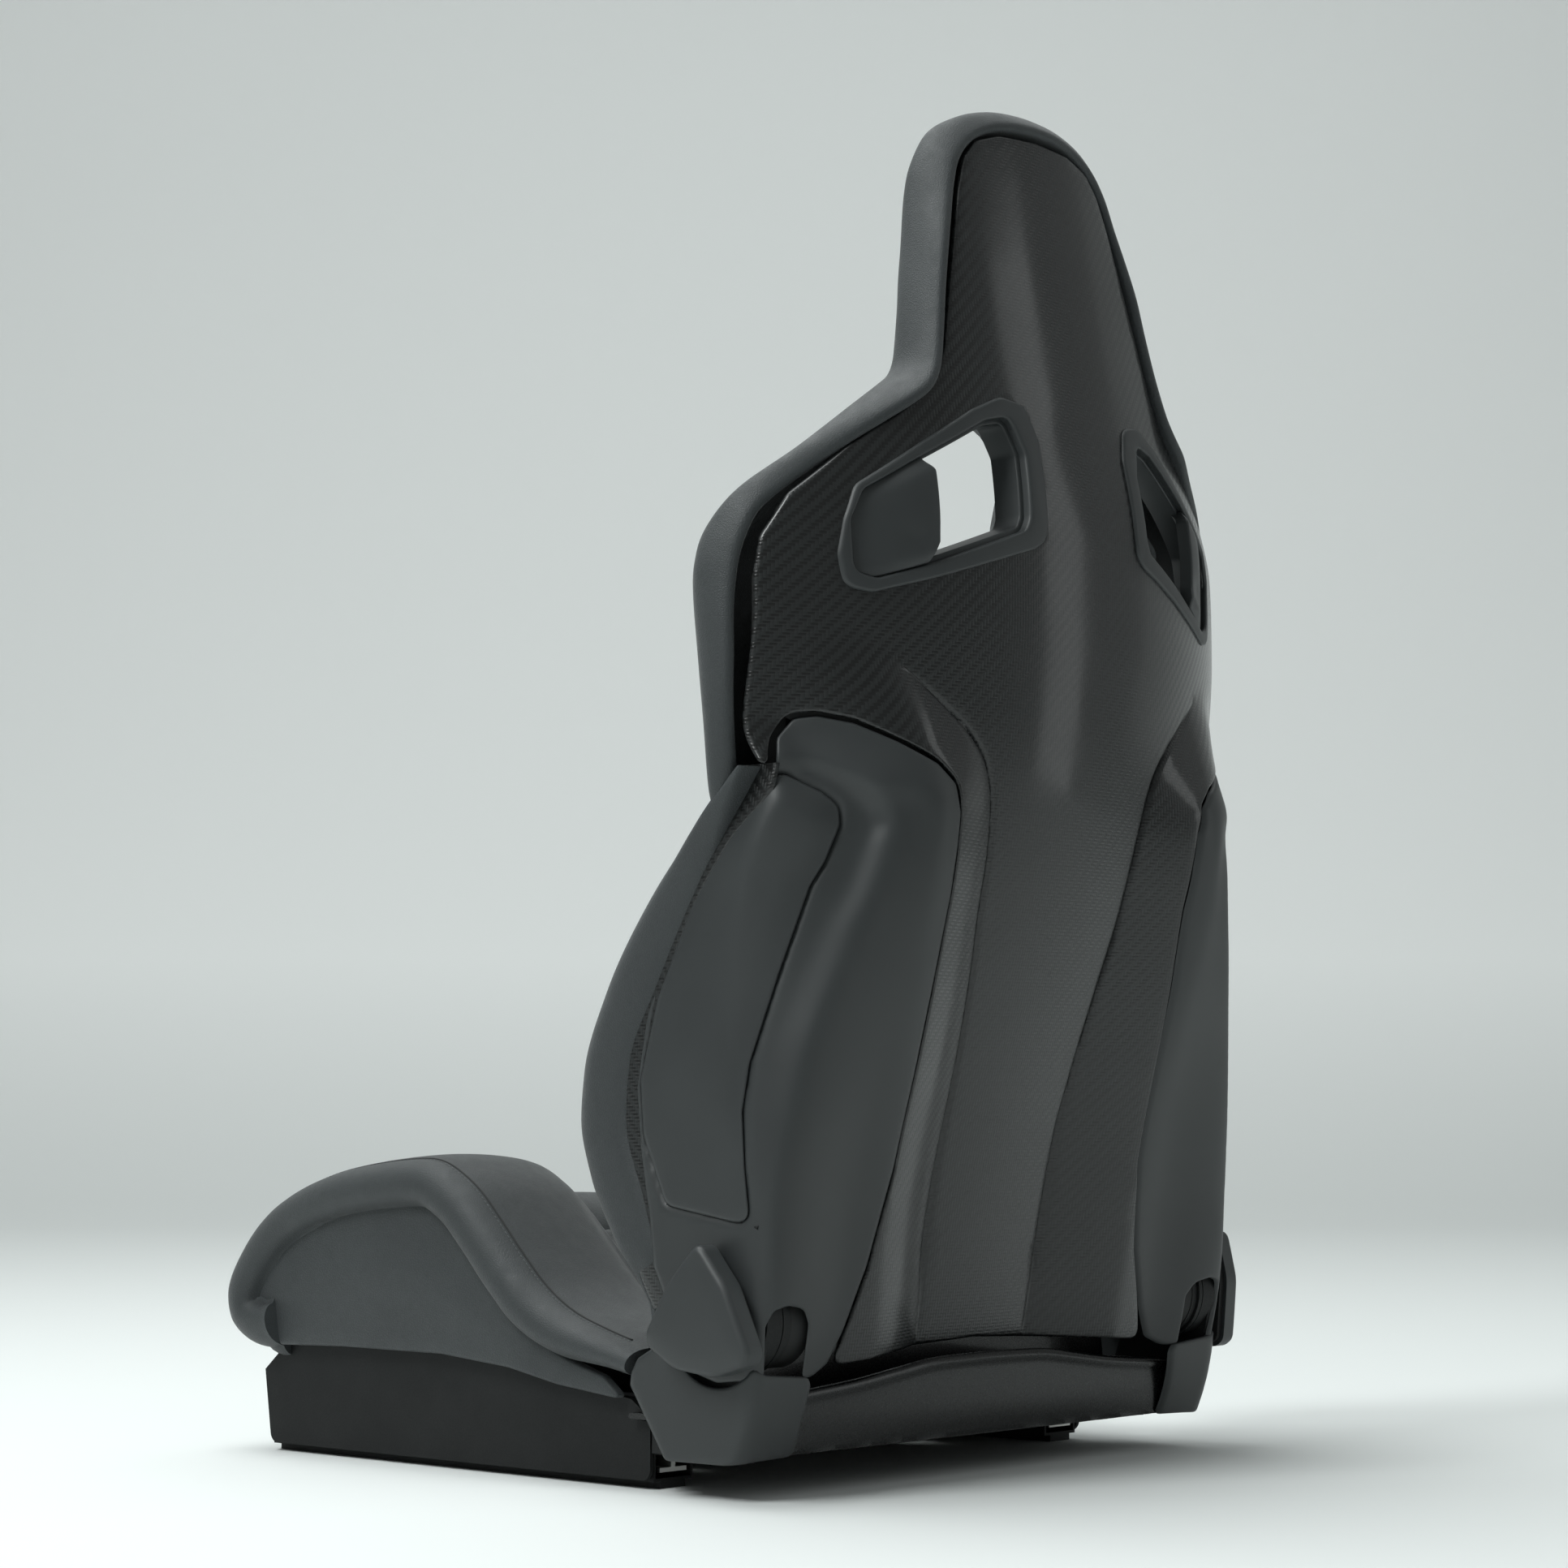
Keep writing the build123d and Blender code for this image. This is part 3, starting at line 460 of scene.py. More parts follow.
def carbon(name, first, second):
    """Two by two twill under clear coat; first and second are the axes the tows run along."""
    n = Nodes(name)
    tow = 0.0024
    axes = n.axes()
    u = n.math("DIVIDE", axes[first], tow)
    v = n.math("DIVIDE", axes[second], tow)
    step = n.math("FLOORED_MODULO", n.math("ADD", n.math("FLOOR", u), n.math("FLOOR", v)), 4.0)
    warp_over = n.math("LESS_THAN", step, 1.5)
    bulge = []
    for w in (u, v):
        side = n.math("SUBTRACT", n.math("MULTIPLY", n.math("FRACT", w), 2.0), 1.0)
        bulge.append(n.math("SUBTRACT", 1.0, n.math("MULTIPLY", side, side)))
    warp = n.math("ADD", n.math("MULTIPLY", bulge[0], 0.8), n.math("MULTIPLY", bulge[1], 0.25))
    weft = n.math("ADD", n.math("MULTIPLY", bulge[1], 0.8), n.math("MULTIPLY", bulge[0], 0.25))
    height = n.math("ADD", n.math("MULTIPLY", warp, warp_over),
                    n.math("MULTIPLY", weft, n.math("SUBTRACT", 1.0, warp_over)))
    fibres = n.noise(4200, 1.0)
    normal = n.bump(n.math("ADD", height, n.math("MULTIPLY", fibres, 0.10)), 0.00030, 0.75)
    # warp tows painted lighter than weft tows: a painted reflection standing in for the fibres' directional
    # sheen
    tone = n.mix(warp_over, (0.0032, 0.0038, 0.0039), (0.0108, 0.0128, 0.0132))
    tone = n.mix(n.range(n.noise(6, 2.0), 0.3, 0.7, 0.0, 0.4), tone, (0.004, 0.0042, 0.0042))
    rough = n.math("ADD", 0.34, n.math("MULTIPLY", warp_over, 0.12))
    ripple = n.bump(n.noise(26, 2.0), 0.0002, 0.25)
    return n.finish(tone, rough, normal, Specular_IOR_Level=0.40, Coat_Weight=0.6, Coat_IOR=1.45,
                    Coat_Roughness=n.range(n.noise(18, 3.0), 0.3, 0.7, 0.10, 0.16), Coat_Normal=ripple)


def painted(name, colour, rough, coat=0.0):
    """Powder-coated or enamelled steel with a slight orange peel."""
    n = Nodes(name)
    peel = n.noise(700, 2.0)
    normal = n.bump(peel, 0.00012, 0.4)
    dust = n.range(n.noise(14, 4.0, 0.65), 0.45, 0.75, 0.0, 0.35)
    tone = n.mix(dust, colour, tuple(1.7 * c + 0.004 for c in colour))
    scuff = n.range(n.noise(260, 5.0, 0.7), 0.62, 0.78, 0.0, 0.4)
    tone = n.mix(scuff, tone, (0.03, 0.03, 0.03))
    return n.finish(tone, n.range(peel, 0.3, 0.7, rough - 0.04, rough + 0.06), normal, Coat_Weight=coat,
                    Coat_Roughness=0.12, Specular_IOR_Level=0.25)


def metal(name, colour, rough):
    """Bare or plated steel with fine drawn marks."""
    n = Nodes(name)
    marks = n.noise(900, 3.0, 0.7)
    stain = n.noise(30, 3.0)
    tone = n.mix(n.range(stain, 0.35, 0.7, 0.0, 0.5), colour, tuple(0.6 * c for c in colour))
    return n.finish(tone, n.range(marks, 0.2, 0.8, rough - 0.08, rough + 0.12), n.bump(marks, 0.00005, 0.3),
                    Metallic=1.0)


def thread(name, colour):
    """Twisted sewing thread."""
    n = Nodes(name)
    twist = n.noise(2500, 1.0)
    tone = n.mix(twist, colour, tuple(1.7 * c for c in colour))
    return n.finish(tone, 0.7, n.bump(twist, 0.0002, 0.5), Sheen_Weight=0.3)


LEATHER = leather("seat_leather", (0.027, 0.0315, 0.0335), (0.036, 0.0415, 0.0435))
CENTRE = leather("centre_leather", (0.026, 0.0295, 0.031), (0.034, 0.039, 0.041), perforated=True)
PLASTIC = moulded("satin_plastic", (0.025, 0.028, 0.029), (0.030, 0.0335, 0.0345), 0.42)
# near-black trim for seams and knob feet, also used as painted shade behind the shell's seams and in the
# hinge notch
TRIM_AND_SHADE = moulded("dark_trim_and_shade", (0.006, 0.0065, 0.0065), (0.008, 0.0085, 0.0085), 0.7)
CARBON = carbon("carbon_shell", 0, 2)
CARBON_SIDE = carbon("carbon_side", 1, 2)
MATTE_STEEL = painted("matte_black_steel", (0.0100, 0.0108, 0.0110), 0.58)
GLOSS_STEEL = painted("gloss_black_steel", (0.004, 0.0044, 0.0046), 0.28, 0.3)
ZINC = metal("zinc_steel", (0.55, 0.55, 0.53), 0.38)
BRIGHT = metal("bright_steel", (0.62, 0.62, 0.62), 0.22)
CAGE = moulded("cage_plastic", (0.06, 0.06, 0.055), (0.08, 0.08, 0.07), 0.5)
THREAD = thread("seam_thread", (0.050, 0.056, 0.058))


def dress(obj, material, body, slot, *nodes):
    """Give a piece its material and body, and hide the CAD nodes it stands for; slot is not used."""
    obj.data.materials.clear()
    obj.data.materials.append(material)
    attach(obj, body)
    if nodes:
        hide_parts(*nodes)
    return obj


# ---- the back shell's surface ----
BOW = 0.00125                    # rearward bow of the shell per square millimetre
BACK_MIDDLE = curve([70, 95, 181, 238, 283, 344, 394, 433, 474, 530, 600, 652, 750, 840, 902, 960],
                    [285, 291, 307, 320, 334, 354, 370, 381, 390, 398, 403.5, 403.5, 388, 372, 361, 351])
CREASE = curve([60, 102, 181, 238, 283, 344, 394, 433, 474, 493, 512, 530, 563, 600],
               [61, 61, 65, 65, 67, 73, 80, 83, 89, 96, 111, 133, 178, 240])
crease_z = np.linspace(60, 585, 560)
crease_path = np.stack([CREASE(crease_z), crease_z], 1)


def shell_y(x, z):
    """How far back the shell's outer face is at (x, z)."""
    x, z = np.broadcast_arrays(np.abs(np.asarray(x, float)), np.asarray(z, float))
    flat = np.stack([x.ravel(), z.ravel()], 1)
    away = distance(flat, crease_path).reshape(x.shape)
    beyond = away * ((x > CREASE(z)) & (z < 600))
    rise = 0.6 * (beyond - 0.5 * np.maximum(0, beyond - 75))
    rise *= (1 - ease(150, 250, x) * ease(430, 520, z)) * (1 - ease(540, 585, z))
    width = 1.6 + 1.5 * (1 - ease(110, 330, z))
    depth = 0.7 * ease(98, 106, z) + 2.9 * ease(122, 170, z)
    groove = depth * np.exp(-(away / width) ** 2) * (1 - ease(500, 560, z))
    return BACK_MIDDLE(z) - BOW * x * x + rise - groove


def on_shell(offset=0.0):
    """Surface function of the shell's outer face, moved rearward by an offset."""
    def at(flat):
        x, z = flat[:, 0], flat[:, 1]
        return np.stack([x, shell_y(x, z) + offset, z], 1)
    return at


BACK = (0, 1, 0)
OUTWARD = (1, 0, 0)
BELT_OUTER = rounded([(208, 652), (200, 676), (151, 709), (105, 738), (79, 750), (57, 746), (49, 721),
                      (51, 665), (53, 650), (63, 643), (145, 616), (190, 603), (208, 606),
                      (212, 628)], 14, 2.5)
BELT_INNER = rounded([(204, 652), (195, 673), (149, 701), (95, 731), (74, 736), (65, 710), (68, 664),
                      (72, 655), (145, 627), (186, 613), (202, 617)], 10, 2.5)


def both(build):
    """Build a left piece and its mirrored right one."""
    for side in ("left", "right"):
        build(side, mirror=side == "right")


# ---- carbon back shell, belt bezels and guides ----
SHELL_HALF = [(0, 95), (60, 92), (120, 89), (173, 85), (165, 109), (150, 152), (138, 217), (136, 283),
              (135, 348), (133, 402), (135, 434), (136.5, 458), (141, 478), (156, 491), (183, 505),
              (205, 517), (224, 521.5), (238, 520), (249, 503), (256, 487), (261, 484), (262, 505),
              (262, 530), (260, 583), (260.5, 613), (257, 638), (240, 668), (200, 703), (158, 733),
              (131, 756), (119, 779), (103, 840), (86, 902), (77, 926), (64, 941), (40, 949), (0, 951.5)]
LINER_HALF = [(0, 100), (120, 96), (170, 100), (192, 140), (210, 200), (210, 290), (194, 345), (172, 400),
              (164, 450), (172, 482), (204, 502), (238, 520), (255, 550), (256, 612), (241, 661), (201, 696),
              (158, 730), (114, 773), (98, 840), (80, 903), (54, 936), (0, 946)]


def whole(half, radius, step):
    """Symmetric rounded outline from its left half, whose ends lie on the middle line."""
    return rounded(half + [(-x, z) for x, z in reversed(half[1:-1])], radius, step)


def back_shell():
    opening = inset(BELT_OUTER, 5.0)
    holes = [opening, opening[::-1] * (-1, 1)]
    # grid lines beside the crease carry its groove
    guides = []
    z = np.arange(104, 560, 3.0)
    for side in (-1, 1):
        for shift in (-5.4, -3.6, -2.2, -1.1, 0, 1.1, 2.2, 3.6, 5.4):
            guides.append(np.stack([side * (CREASE(z) + shift), z], 1))
    outline = whole(SHELL_HALF, 12, 3.0)
    shell = panel("carbon_back_shell", [outline] + holes, on_shell(), BACK, 3.2, 2.2, 6.5, guides, sharp=50)
    dress(shell, CARBON, "backrest", "carbon", "back_shell")
    # a near-black pressed sheet behind the seams, painted dark as the shade in the gaps, so that no gap shows
    # light
    outline = whole(LINER_HALF, 14, 6.0)
    liner = panel("seam_shade_liner", [outline] + holes, on_shell(-9.5), BACK, 2.0, 0.8, 12.0, sharp=50)
    dress(liner, TRIM_AND_SHADE, "backrest", "satin_plastic")


def belt_bezel(side, mirror):
    ring = panel(f"belt_bezel_{side}_ring", [BELT_OUTER, BELT_INNER], on_shell(2.6), BACK, 8.0, 2.4, 5.0,
                 mirror=mirror, sharp=50)
    dress(ring, PLASTIC, "backrest", "satin_plastic", f"belt_bezel_{side}")
    # stepped tunnel behind the ring
    collar = panel(f"belt_bezel_{side}_collar", [inset(BELT_INNER, -3.0), inset(BELT_INNER, 3.5)],
                   on_shell(-4.0), BACK, 22.0, 1.2, 5.0, mirror=mirror, sharp=50)
    dress(collar, PLASTIC, "backrest", "satin_plastic")


def belt_guide(side, mirror):
    outline = rounded([(148, 633, 3), (145, 640, 2), (145, 690, 2), (149, 696, 2), (151, 700, 3),
                        (175, 686, 8), (196, 673, 8), (205, 652, 8), (203, 618, 8), (188, 613, 8),
                        (150, 626, 3)], 6, 2.0)

    def surface(flat):
        x, z = flat[:, 0], flat[:, 1]
        top = 699 - (x - 151) * 0.56
        slope = ease(0, 11, top - z)
        low = 625 + np.maximum(0, 186 - x) * 0.02 - (x - 150) * 0.3
        foot = ease(0, 8, z - low)
        lift = -2.5 + 8.5 * ease(206, 158, x) * (0.35 + 0.65 * slope) * (0.6 + 0.4 * foot)
        hollow = 2.2 * np.exp(-((x - 163) / 10) ** 2) * np.exp(-((z - 640) / 10) ** 2)
        return np.stack([x, shell_y(x, z) + lift - hollow, z], 1)
    guide = panel(f"belt_guide_{side}_blade", [outline], surface, BACK, 11.0, 2.0, 3.5, mirror=mirror,
                  sharp=55)
    dress(guide, PLASTIC, "backrest", "satin_plastic", f"belt_guide_{side}")


back_shell()
both(belt_bezel)
both(belt_guide)


# ---- side cover and fold lever: a height field over the seat's rear corner ----
ROOT = math.sqrt(0.5)
CORNER = (ROOT, ROOT, 0)
FACE_X = 262.0

# the cover's profile against height: inner edge, ridge, lever edge, corner and front edge
face_x = curve([80, 400, 438, 470, 490, 517], [FACE_X, FACE_X, 260.5, 257, 253, 250])
ridge_x = curve([80, 118, 187, 240, 298, 341, 373, 400, 438, 456, 475, 490, 517],
                [250, 254, 257, 250, 238, 223, 212, 200, 190, 189, 204, 222, 226])
ridge_y = curve([80, 118, 145, 187, 240, 298, 341, 373, 400, 438, 456, 475],
                [317, 325, 328, 330, 338, 348, 359, 367, 375, 381, 379.5, 371])
lever_x = curve([80, 219, 256, 288, 347, 405, 421, 447, 475, 517],
                [261, 262, 261, 258, 247, 235, 231, 228, 232, 241])
lever_y = curve([80, 118, 181, 219, 256, 288, 347, 405, 421, 447, 460, 475, 490, 517],
                [311, 316, 314, 311, 308, 312, 328, 344, 347, 352, 352, 345, 335, 319])
corner_y = curve([80, 118, 187, 240, 298, 341, 400, 438, 475, 517],
                 [304, 308, 305, 300, 296, 296, 304, 318, 328, 318])


def fold_flat(x, y):
    """Place across the corner and height above it."""
    return (x - y) * ROOT, (x + y) * ROOT


def on_flank(y, z):
    """Place across the corner of a point of the outer side face, given where it would be at its widest."""
    inward = FACE_X - float(face_x(z))
    return fold_flat(FACE_X - inward, y - 0.9 * inward)[0]


grid_a = np.arange(-215, 75, 1.5)
grid_z = np.arange(66, 532, 2.0)


def blur(field, radius):
    """Gaussian blur with edges held."""
    reach = int(3 * radius) + 1
    weight = np.exp(-0.5 * (np.arange(-reach, reach + 1) / radius) ** 2)
    weight /= weight.sum()
    for axis in (0, 1):
        spread = [(reach, reach) if k == axis else (0, 0) for k in (0, 1)]
        padded = np.pad(field, spread, mode="reflect", reflect_type="odd")
        field = np.apply_along_axis(lambda line: np.convolve(line, weight, mode="valid"), axis, padded)
    return field


def nominal_heights():
    rows = []
    for z in grid_z:
        rx = float(ridge_x(z))
        ry = float(ridge_y(z)) if z < 470 else float(shell_y(rx, z)) - 2.0
        inner = np.linspace(120, rx, 8)[:-1]
        share = (inner - 120) / (rx - 120)
        base = shell_y(inner, np.full(7, z)) + 0.6
        lean = (ry - float(shell_y(rx, z)) - 0.6) * ease(0.35, 1.0, share)
        points = [(x, y + d) for x, y, d in zip(inner, base, lean)]
        flank = float(face_x(z))
        points += [(rx, ry), (float(lever_x(z)), min(ry - 2, float(lever_y(z)))), (flank, float(corner_y(z))),
                   (flank + 0.5, 190)]
        a, h = fold_flat(*np.array(points).T)
        order = np.argsort(a)
        rows.append(np.interp(grid_a, a[order], h[order]))
    return blur(np.array(rows), 3.2)


lip = np.array([(252, 336, 256), (238, 348, 298), (223, 359, 341), (212, 367, 373), (200, 375, 400),
                (191, 381, 438), (190, 380, 452), (199, 372, 468), (210, 363, 479), (228, 345, 489),
                (246, 336, 490), (262, 318, 484)], float)
lip_a, _ = fold_flat(lip[:, 0], lip[:, 1])
lip_path = spline(np.stack([lip_a, lip[:, 2]], 1), 400)
hollow_loop = np.concatenate([lip_path, [(40, 484), (40, 256)]])
hollow_depth = curve([250, 280, 340, 400, 460, 490], [0, 1.5, 4.0, 6.5, 8.5, 8.5])
hollow_reach = curve([250, 340, 430, 465, 490], [34, 30, 24, 13, 9])

LEVER_EDGE = [(330, 477), (297, 444), (260, 391), (230, 332), (214, 277), (217, 239), (238, 193)]
lever_loop = [(on_flank(y, z), z) for y, z in LEVER_EDGE]
lever_loop += [(fold_flat(FACE_X, 315)[0], 181)]
for x, y, z in ((262, 310, 219), (262, 308, 256), (259, 312, 288), (252, 332, 347), (242, 351, 405),
                (235, 358, 421), (229, 366, 445), (230, 366, 458), (238, 358, 467), (249, 334, 479)):
    lever_loop.append((fold_flat(x, y)[0], z))
lever_loop = np.array(lever_loop)
lever_outline = rounded(lever_loop, 9, 2.5)
if area(lever_outline) < 0:
    lever_outline = lever_outline[::-1]


def sample(field, flat):
    """Bilinear reading of a field over the corner grid."""
    i = np.clip((flat[:, 1] - grid_z[0]) / (grid_z[1] - grid_z[0]), 0, len(grid_z) - 1.001)
    j = np.clip((flat[:, 0] - grid_a[0]) / (grid_a[1] - grid_a[0]), 0, len(grid_a) - 1.001)
    i0, j0 = i.astype(int), j.astype(int)
    u, v = i - i0, j - j0
    low = field[i0, j0] * (1 - v) + field[i0, j0 + 1] * v
    high = field[i0 + 1, j0] * (1 - v) + field[i0 + 1, j0 + 1] * v
    return low * (1 - u) + high * u


def corner_fields():
    """Height of the lever's own surface and of the cover with its finger scoop and lever pocket."""
    nominal = nominal_heights()
    aa, zz = np.meshgrid(grid_a, grid_z)
    flat = np.stack([aa.ravel(), zz.ravel()], 1)
    deep = inside(flat, hollow_loop) * ease(0, 1, distance(flat, lip_path) / hollow_reach(flat[:, 1]))
    scoop = (deep * hollow_depth(flat[:, 1])).reshape(aa.shape)
    fade = 1 - inside(flat, lever_outline) * ease(0, 20, distance(flat, lever_outline)).reshape(-1)
    scoop = blur(scoop * fade.reshape(aa.shape), 2.0)
    paddle = nominal - 0.75 * scoop
    pocket_edge = inset(lever_outline, -1.2)
    pocket = inside(flat, pocket_edge) * ease(0, 3.0, distance(flat, pocket_edge))
    pocket = blur(pocket.reshape(aa.shape) * 6.0, 0.7)
    return paddle, nominal - scoop - pocket


lever_height, cover_height = corner_fields()


def on_corner(field, offset=0.0):
    """Surface function that turns (across, z) into the rear corner's 3-D points."""
    def at(flat):
        h = sample(field, flat) + offset
        return np.stack([(flat[:, 0] + h) * ROOT, (h - flat[:, 0]) * ROOT, flat[:, 1]], 1)
    return at


def side_cover(side, mirror):
    rear = [(178, 87), (168, 109), (153, 152), (141, 217), (139, 283), (138, 348), (136, 402), (138, 434),
            (139, 456), (144, 475), (158, 488), (184, 502), (206, 514), (224, 518.5), (236, 517), (246, 503)]
    outline = [(fold_flat(x, float(shell_y(x, z)))[0], z) for x, z in rear]
    outline.append((fold_flat(254, 331)[0], 482))
    outline += [(on_flank(y, z), z) for y, z in (
        (322, 471), (282, 432), (245, 381), (220, 321), (211, 272), (215, 228), (223, 185), (227, 152),
        (240, 128), (244, 112), (250, 96), (262, 84), (285, 78), (305, 80), (314, 80))]
    outline += [(fold_flat(x, y)[0], z) for x, y, z in (
        (256, 322, 79), (256, 323, 116), (250, 325, 126), (236, 325, 129), (221, 325, 126), (215, 324, 116),
        (215, 318, 79), (200, 314, 80))]
    loop = rounded(outline[::-1], 7, 2.5)
    cover = panel(f"side_cover_{side}_shell", [loop], on_corner(cover_height), CORNER, 3.6, 2.2, 3.2,
                  mirror=mirror, sharp=60)
    dress(cover, PLASTIC, "backrest", "satin_plastic", f"side_cover_{side}")


def fold_lever(side, mirror):
    lever = panel(f"fold_lever_{side}_paddle", [lever_outline], on_corner(lever_height, 0.6), CORNER, 4.2,
                  2.4, 3.4, mirror=mirror, sharp=60)
    dress(lever, PLASTIC, f"fold_lever_{side}", "satin_plastic", f"fold_lever_{side}")


both(side_cover)
both(fold_lever)


# ---- soft parts ----
PAD_VOXEL = 5                    # mesh size of the simulated pads, mm
SWELL_CAP = 5                    # no point of a pad moves further than this, mm
SWELL_FRAMES = 20


def inflate(obj, pressure):
    remesh = obj.modifiers.new("remesh", "REMESH")
    remesh.mode = "VOXEL"
    remesh.voxel_size = PAD_VOXEL * MM
    remesh.use_smooth_shade = True
    bpy.context.view_layer.update()
    apply_modifiers(obj)
    start = np.array([v.co for v in obj.data.vertices])
    cloth = obj.modifiers.new("cloth", "CLOTH")
    cloth.settings.quality = 6
    cloth.settings.mass = 0.25
    cloth.settings.tension_stiffness = 24
    cloth.settings.compression_stiffness = 20
    cloth.settings.bending_stiffness = 1.5
    cloth.settings.use_pressure = True
    cloth.settings.uniform_pressure_force = pressure
    cloth.settings.effector_weights.gravity = 0
    cloth.point_cache.frame_start = 1
    cloth.point_cache.frame_end = SWELL_FRAMES
    for number in range(1, SWELL_FRAMES + 1):
        bpy.context.scene.frame_set(number)
    apply_modifiers(obj)
    bpy.context.scene.frame_set(1)
    moved = np.array([v.co for v in obj.data.vertices]) - start
    length = np.linalg.norm(moved, axis=1)
    moved *= np.minimum(1, SWELL_CAP * MM / np.maximum(length, 1e-9))[:, None]
    for v, p in zip(obj.data.vertices, start + moved):
        v.co = p
    smooth = obj.modifiers.new("smooth", "SMOOTH")
    smooth.factor = 0.5
    smooth.iterations = 6
    finer = obj.modifiers.new("finer", "SUBSURF")
    finer.levels = 1
    bpy.context.view_layer.update()
    return apply_modifiers(obj)


def crease(obj, paths, depth, width):
    """Press sewn channels into a mesh along 3-D paths."""
    points = np.array([v.co for v in obj.data.vertices]) / MM
    normals = np.array([v.normal for v in obj.data.vertices])
    sink = np.zeros(len(points))
    for path in paths:
        sink = np.maximum(sink, np.exp(-(distance(points, path) / width) ** 2))
    for v, p, n, s in zip(obj.data.vertices, points, normals, sink):
        v.co = (p - n * depth * s) * MM
    return obj


def seat_on(obj, path, lift=0.0):
    """Path moved onto an object's surface, then lifted off it along the normal."""
    tree = BVHTree.FromObject(obj, bpy.context.evaluated_depsgraph_get())
    out = []
    for p in path:
        place, normal, _, _ = tree.find_nearest(Vector(p) * MM)
        out.append(np.array(place) / MM + lift * np.array(normal))
    return np.array(out)


def stitches(name, path, length=3.4, gap=1.3, radius=0.42):
    """Row of short raised stitches along a path."""
    path = np.asarray(path, float)
    span = np.concatenate([[0], np.cumsum(np.linalg.norm(np.diff(path, axis=0), axis=1))])
    points, faces = [], []
    ring = np.linspace(0, 2 * math.pi, 6, endpoint=False)
    for start in np.arange(0, span[-1] - length, length + gap):
        at = []
        for share in (0, 0.12, 0.5, 0.88, 1):
            at.append(np.array([np.interp(start + length * share, span, path[:, k]) for k in range(3)]))
        way = at[-1] - at[0]
        way /= np.linalg.norm(way) + 1e-9
        side = np.cross(way, (0.3, 0.2, 0.93))
        side /= np.linalg.norm(side)
        other = np.cross(way, side)
        base = len(points)
        for centre, share in zip(at, (0.35, 0.85, 1.0, 0.85, 0.35)):
            for t in ring:
                points.append(centre + radius * share * (math.cos(t) * side + math.sin(t) * other))
        for i in range(4):
            for j in range(6):
                k = (j + 1) % 6
                faces.append((base + 6 * i + j, base + 6 * i + k, base + 6 * i + 6 + k, base + 6 * i + 6 + j))
        faces.append(tuple(base + j for j in reversed(range(6))))
        faces.append(tuple(base + 24 + j for j in range(6)))
    return make(name, points, faces)


def sew(name, pad, path, lift, body, **size):
    """Row of stitches seated on a pad."""
    dress(stitches(name, seat_on(pad, path, lift), **size), THREAD, body, "leather")


# head and shoulder pad: stations up the left edge, each with its rear edge, its outermost front
# edge and the crest of its wing
RIM_REAR = [(252, 296, 458), (266, 299, 474), (274, 302, 520), (276, 304, 560), (276, 304, 594),
            (273, 306, 625), (266, 311, 650), (253, 317, 669), (213, 340, 704), (180, 356, 728),
            (159, 366, 743), (145, 369, 754), (136, 368, 768), (128, 364, 795), (121, 360, 826),
            (114, 357, 856), (106, 353, 882), (98, 349, 906), (89, 347, 928), (73, 347, 946),
            (50, 348, 958), (24, 351, 963), (0, 352, 964)]
RIM_FRONT = [(256, 288, 450), (268, 285, 462), (274, 284, 519), (275, 280, 563), (276, 277, 602),
             (276, 278, 624), (270, 282, 647), (258, 300, 673), (225, 322, 702), (180, 333, 737),
             (150, 333, 757), (140, 331, 764), (132, 330, 777), (124, 327, 813), (118, 323, 838),
             (112, 320, 862), (105, 317, 899), (100, 319, 924), (88, 325, 948), (66, 335, 961),
             (38, 335, 969), (18, 334, 972), (0, 334, 973)]
WING = [(232, 250, 456), (235, 238, 474), (234, 214, 519), (233, 216, 563), (230, 222, 602),
        (222, 230, 624), (210, 243, 647), (190, 267, 673), (154, 290, 702), (112, 300, 737),
        (100, 298, 757), (95, 296, 764), (92, 292, 777), (89, 287, 813), (86, 284, 838), (82, 284, 862),
        (72, 289, 899), (62, 298, 924), (50, 308, 944), (36, 317, 956), (20, 324, 963), (9, 328, 966),
        (0, 329, 967)]
WING_SLOPE = 0.9                 # how steeply a wing's outer face may turn forward, y per x
PAD_SPINE = curve([470, 530, 600, 660, 704, 743, 806, 857, 906, 945, 970],
                  [322, 330, 333, 331, 322, 312, 298, 292, 295, 307, 328])


# belt tunnels through the pad: y, how much wider than at the shell, and how far the outline grows
BELT_TUNNEL = [(170, 1.44, 10), (250, 1.44, 9), (300, 1.42, 7), (330, 1.27, 4), (366, 1.02, 1), (430, 1.0, 0)]


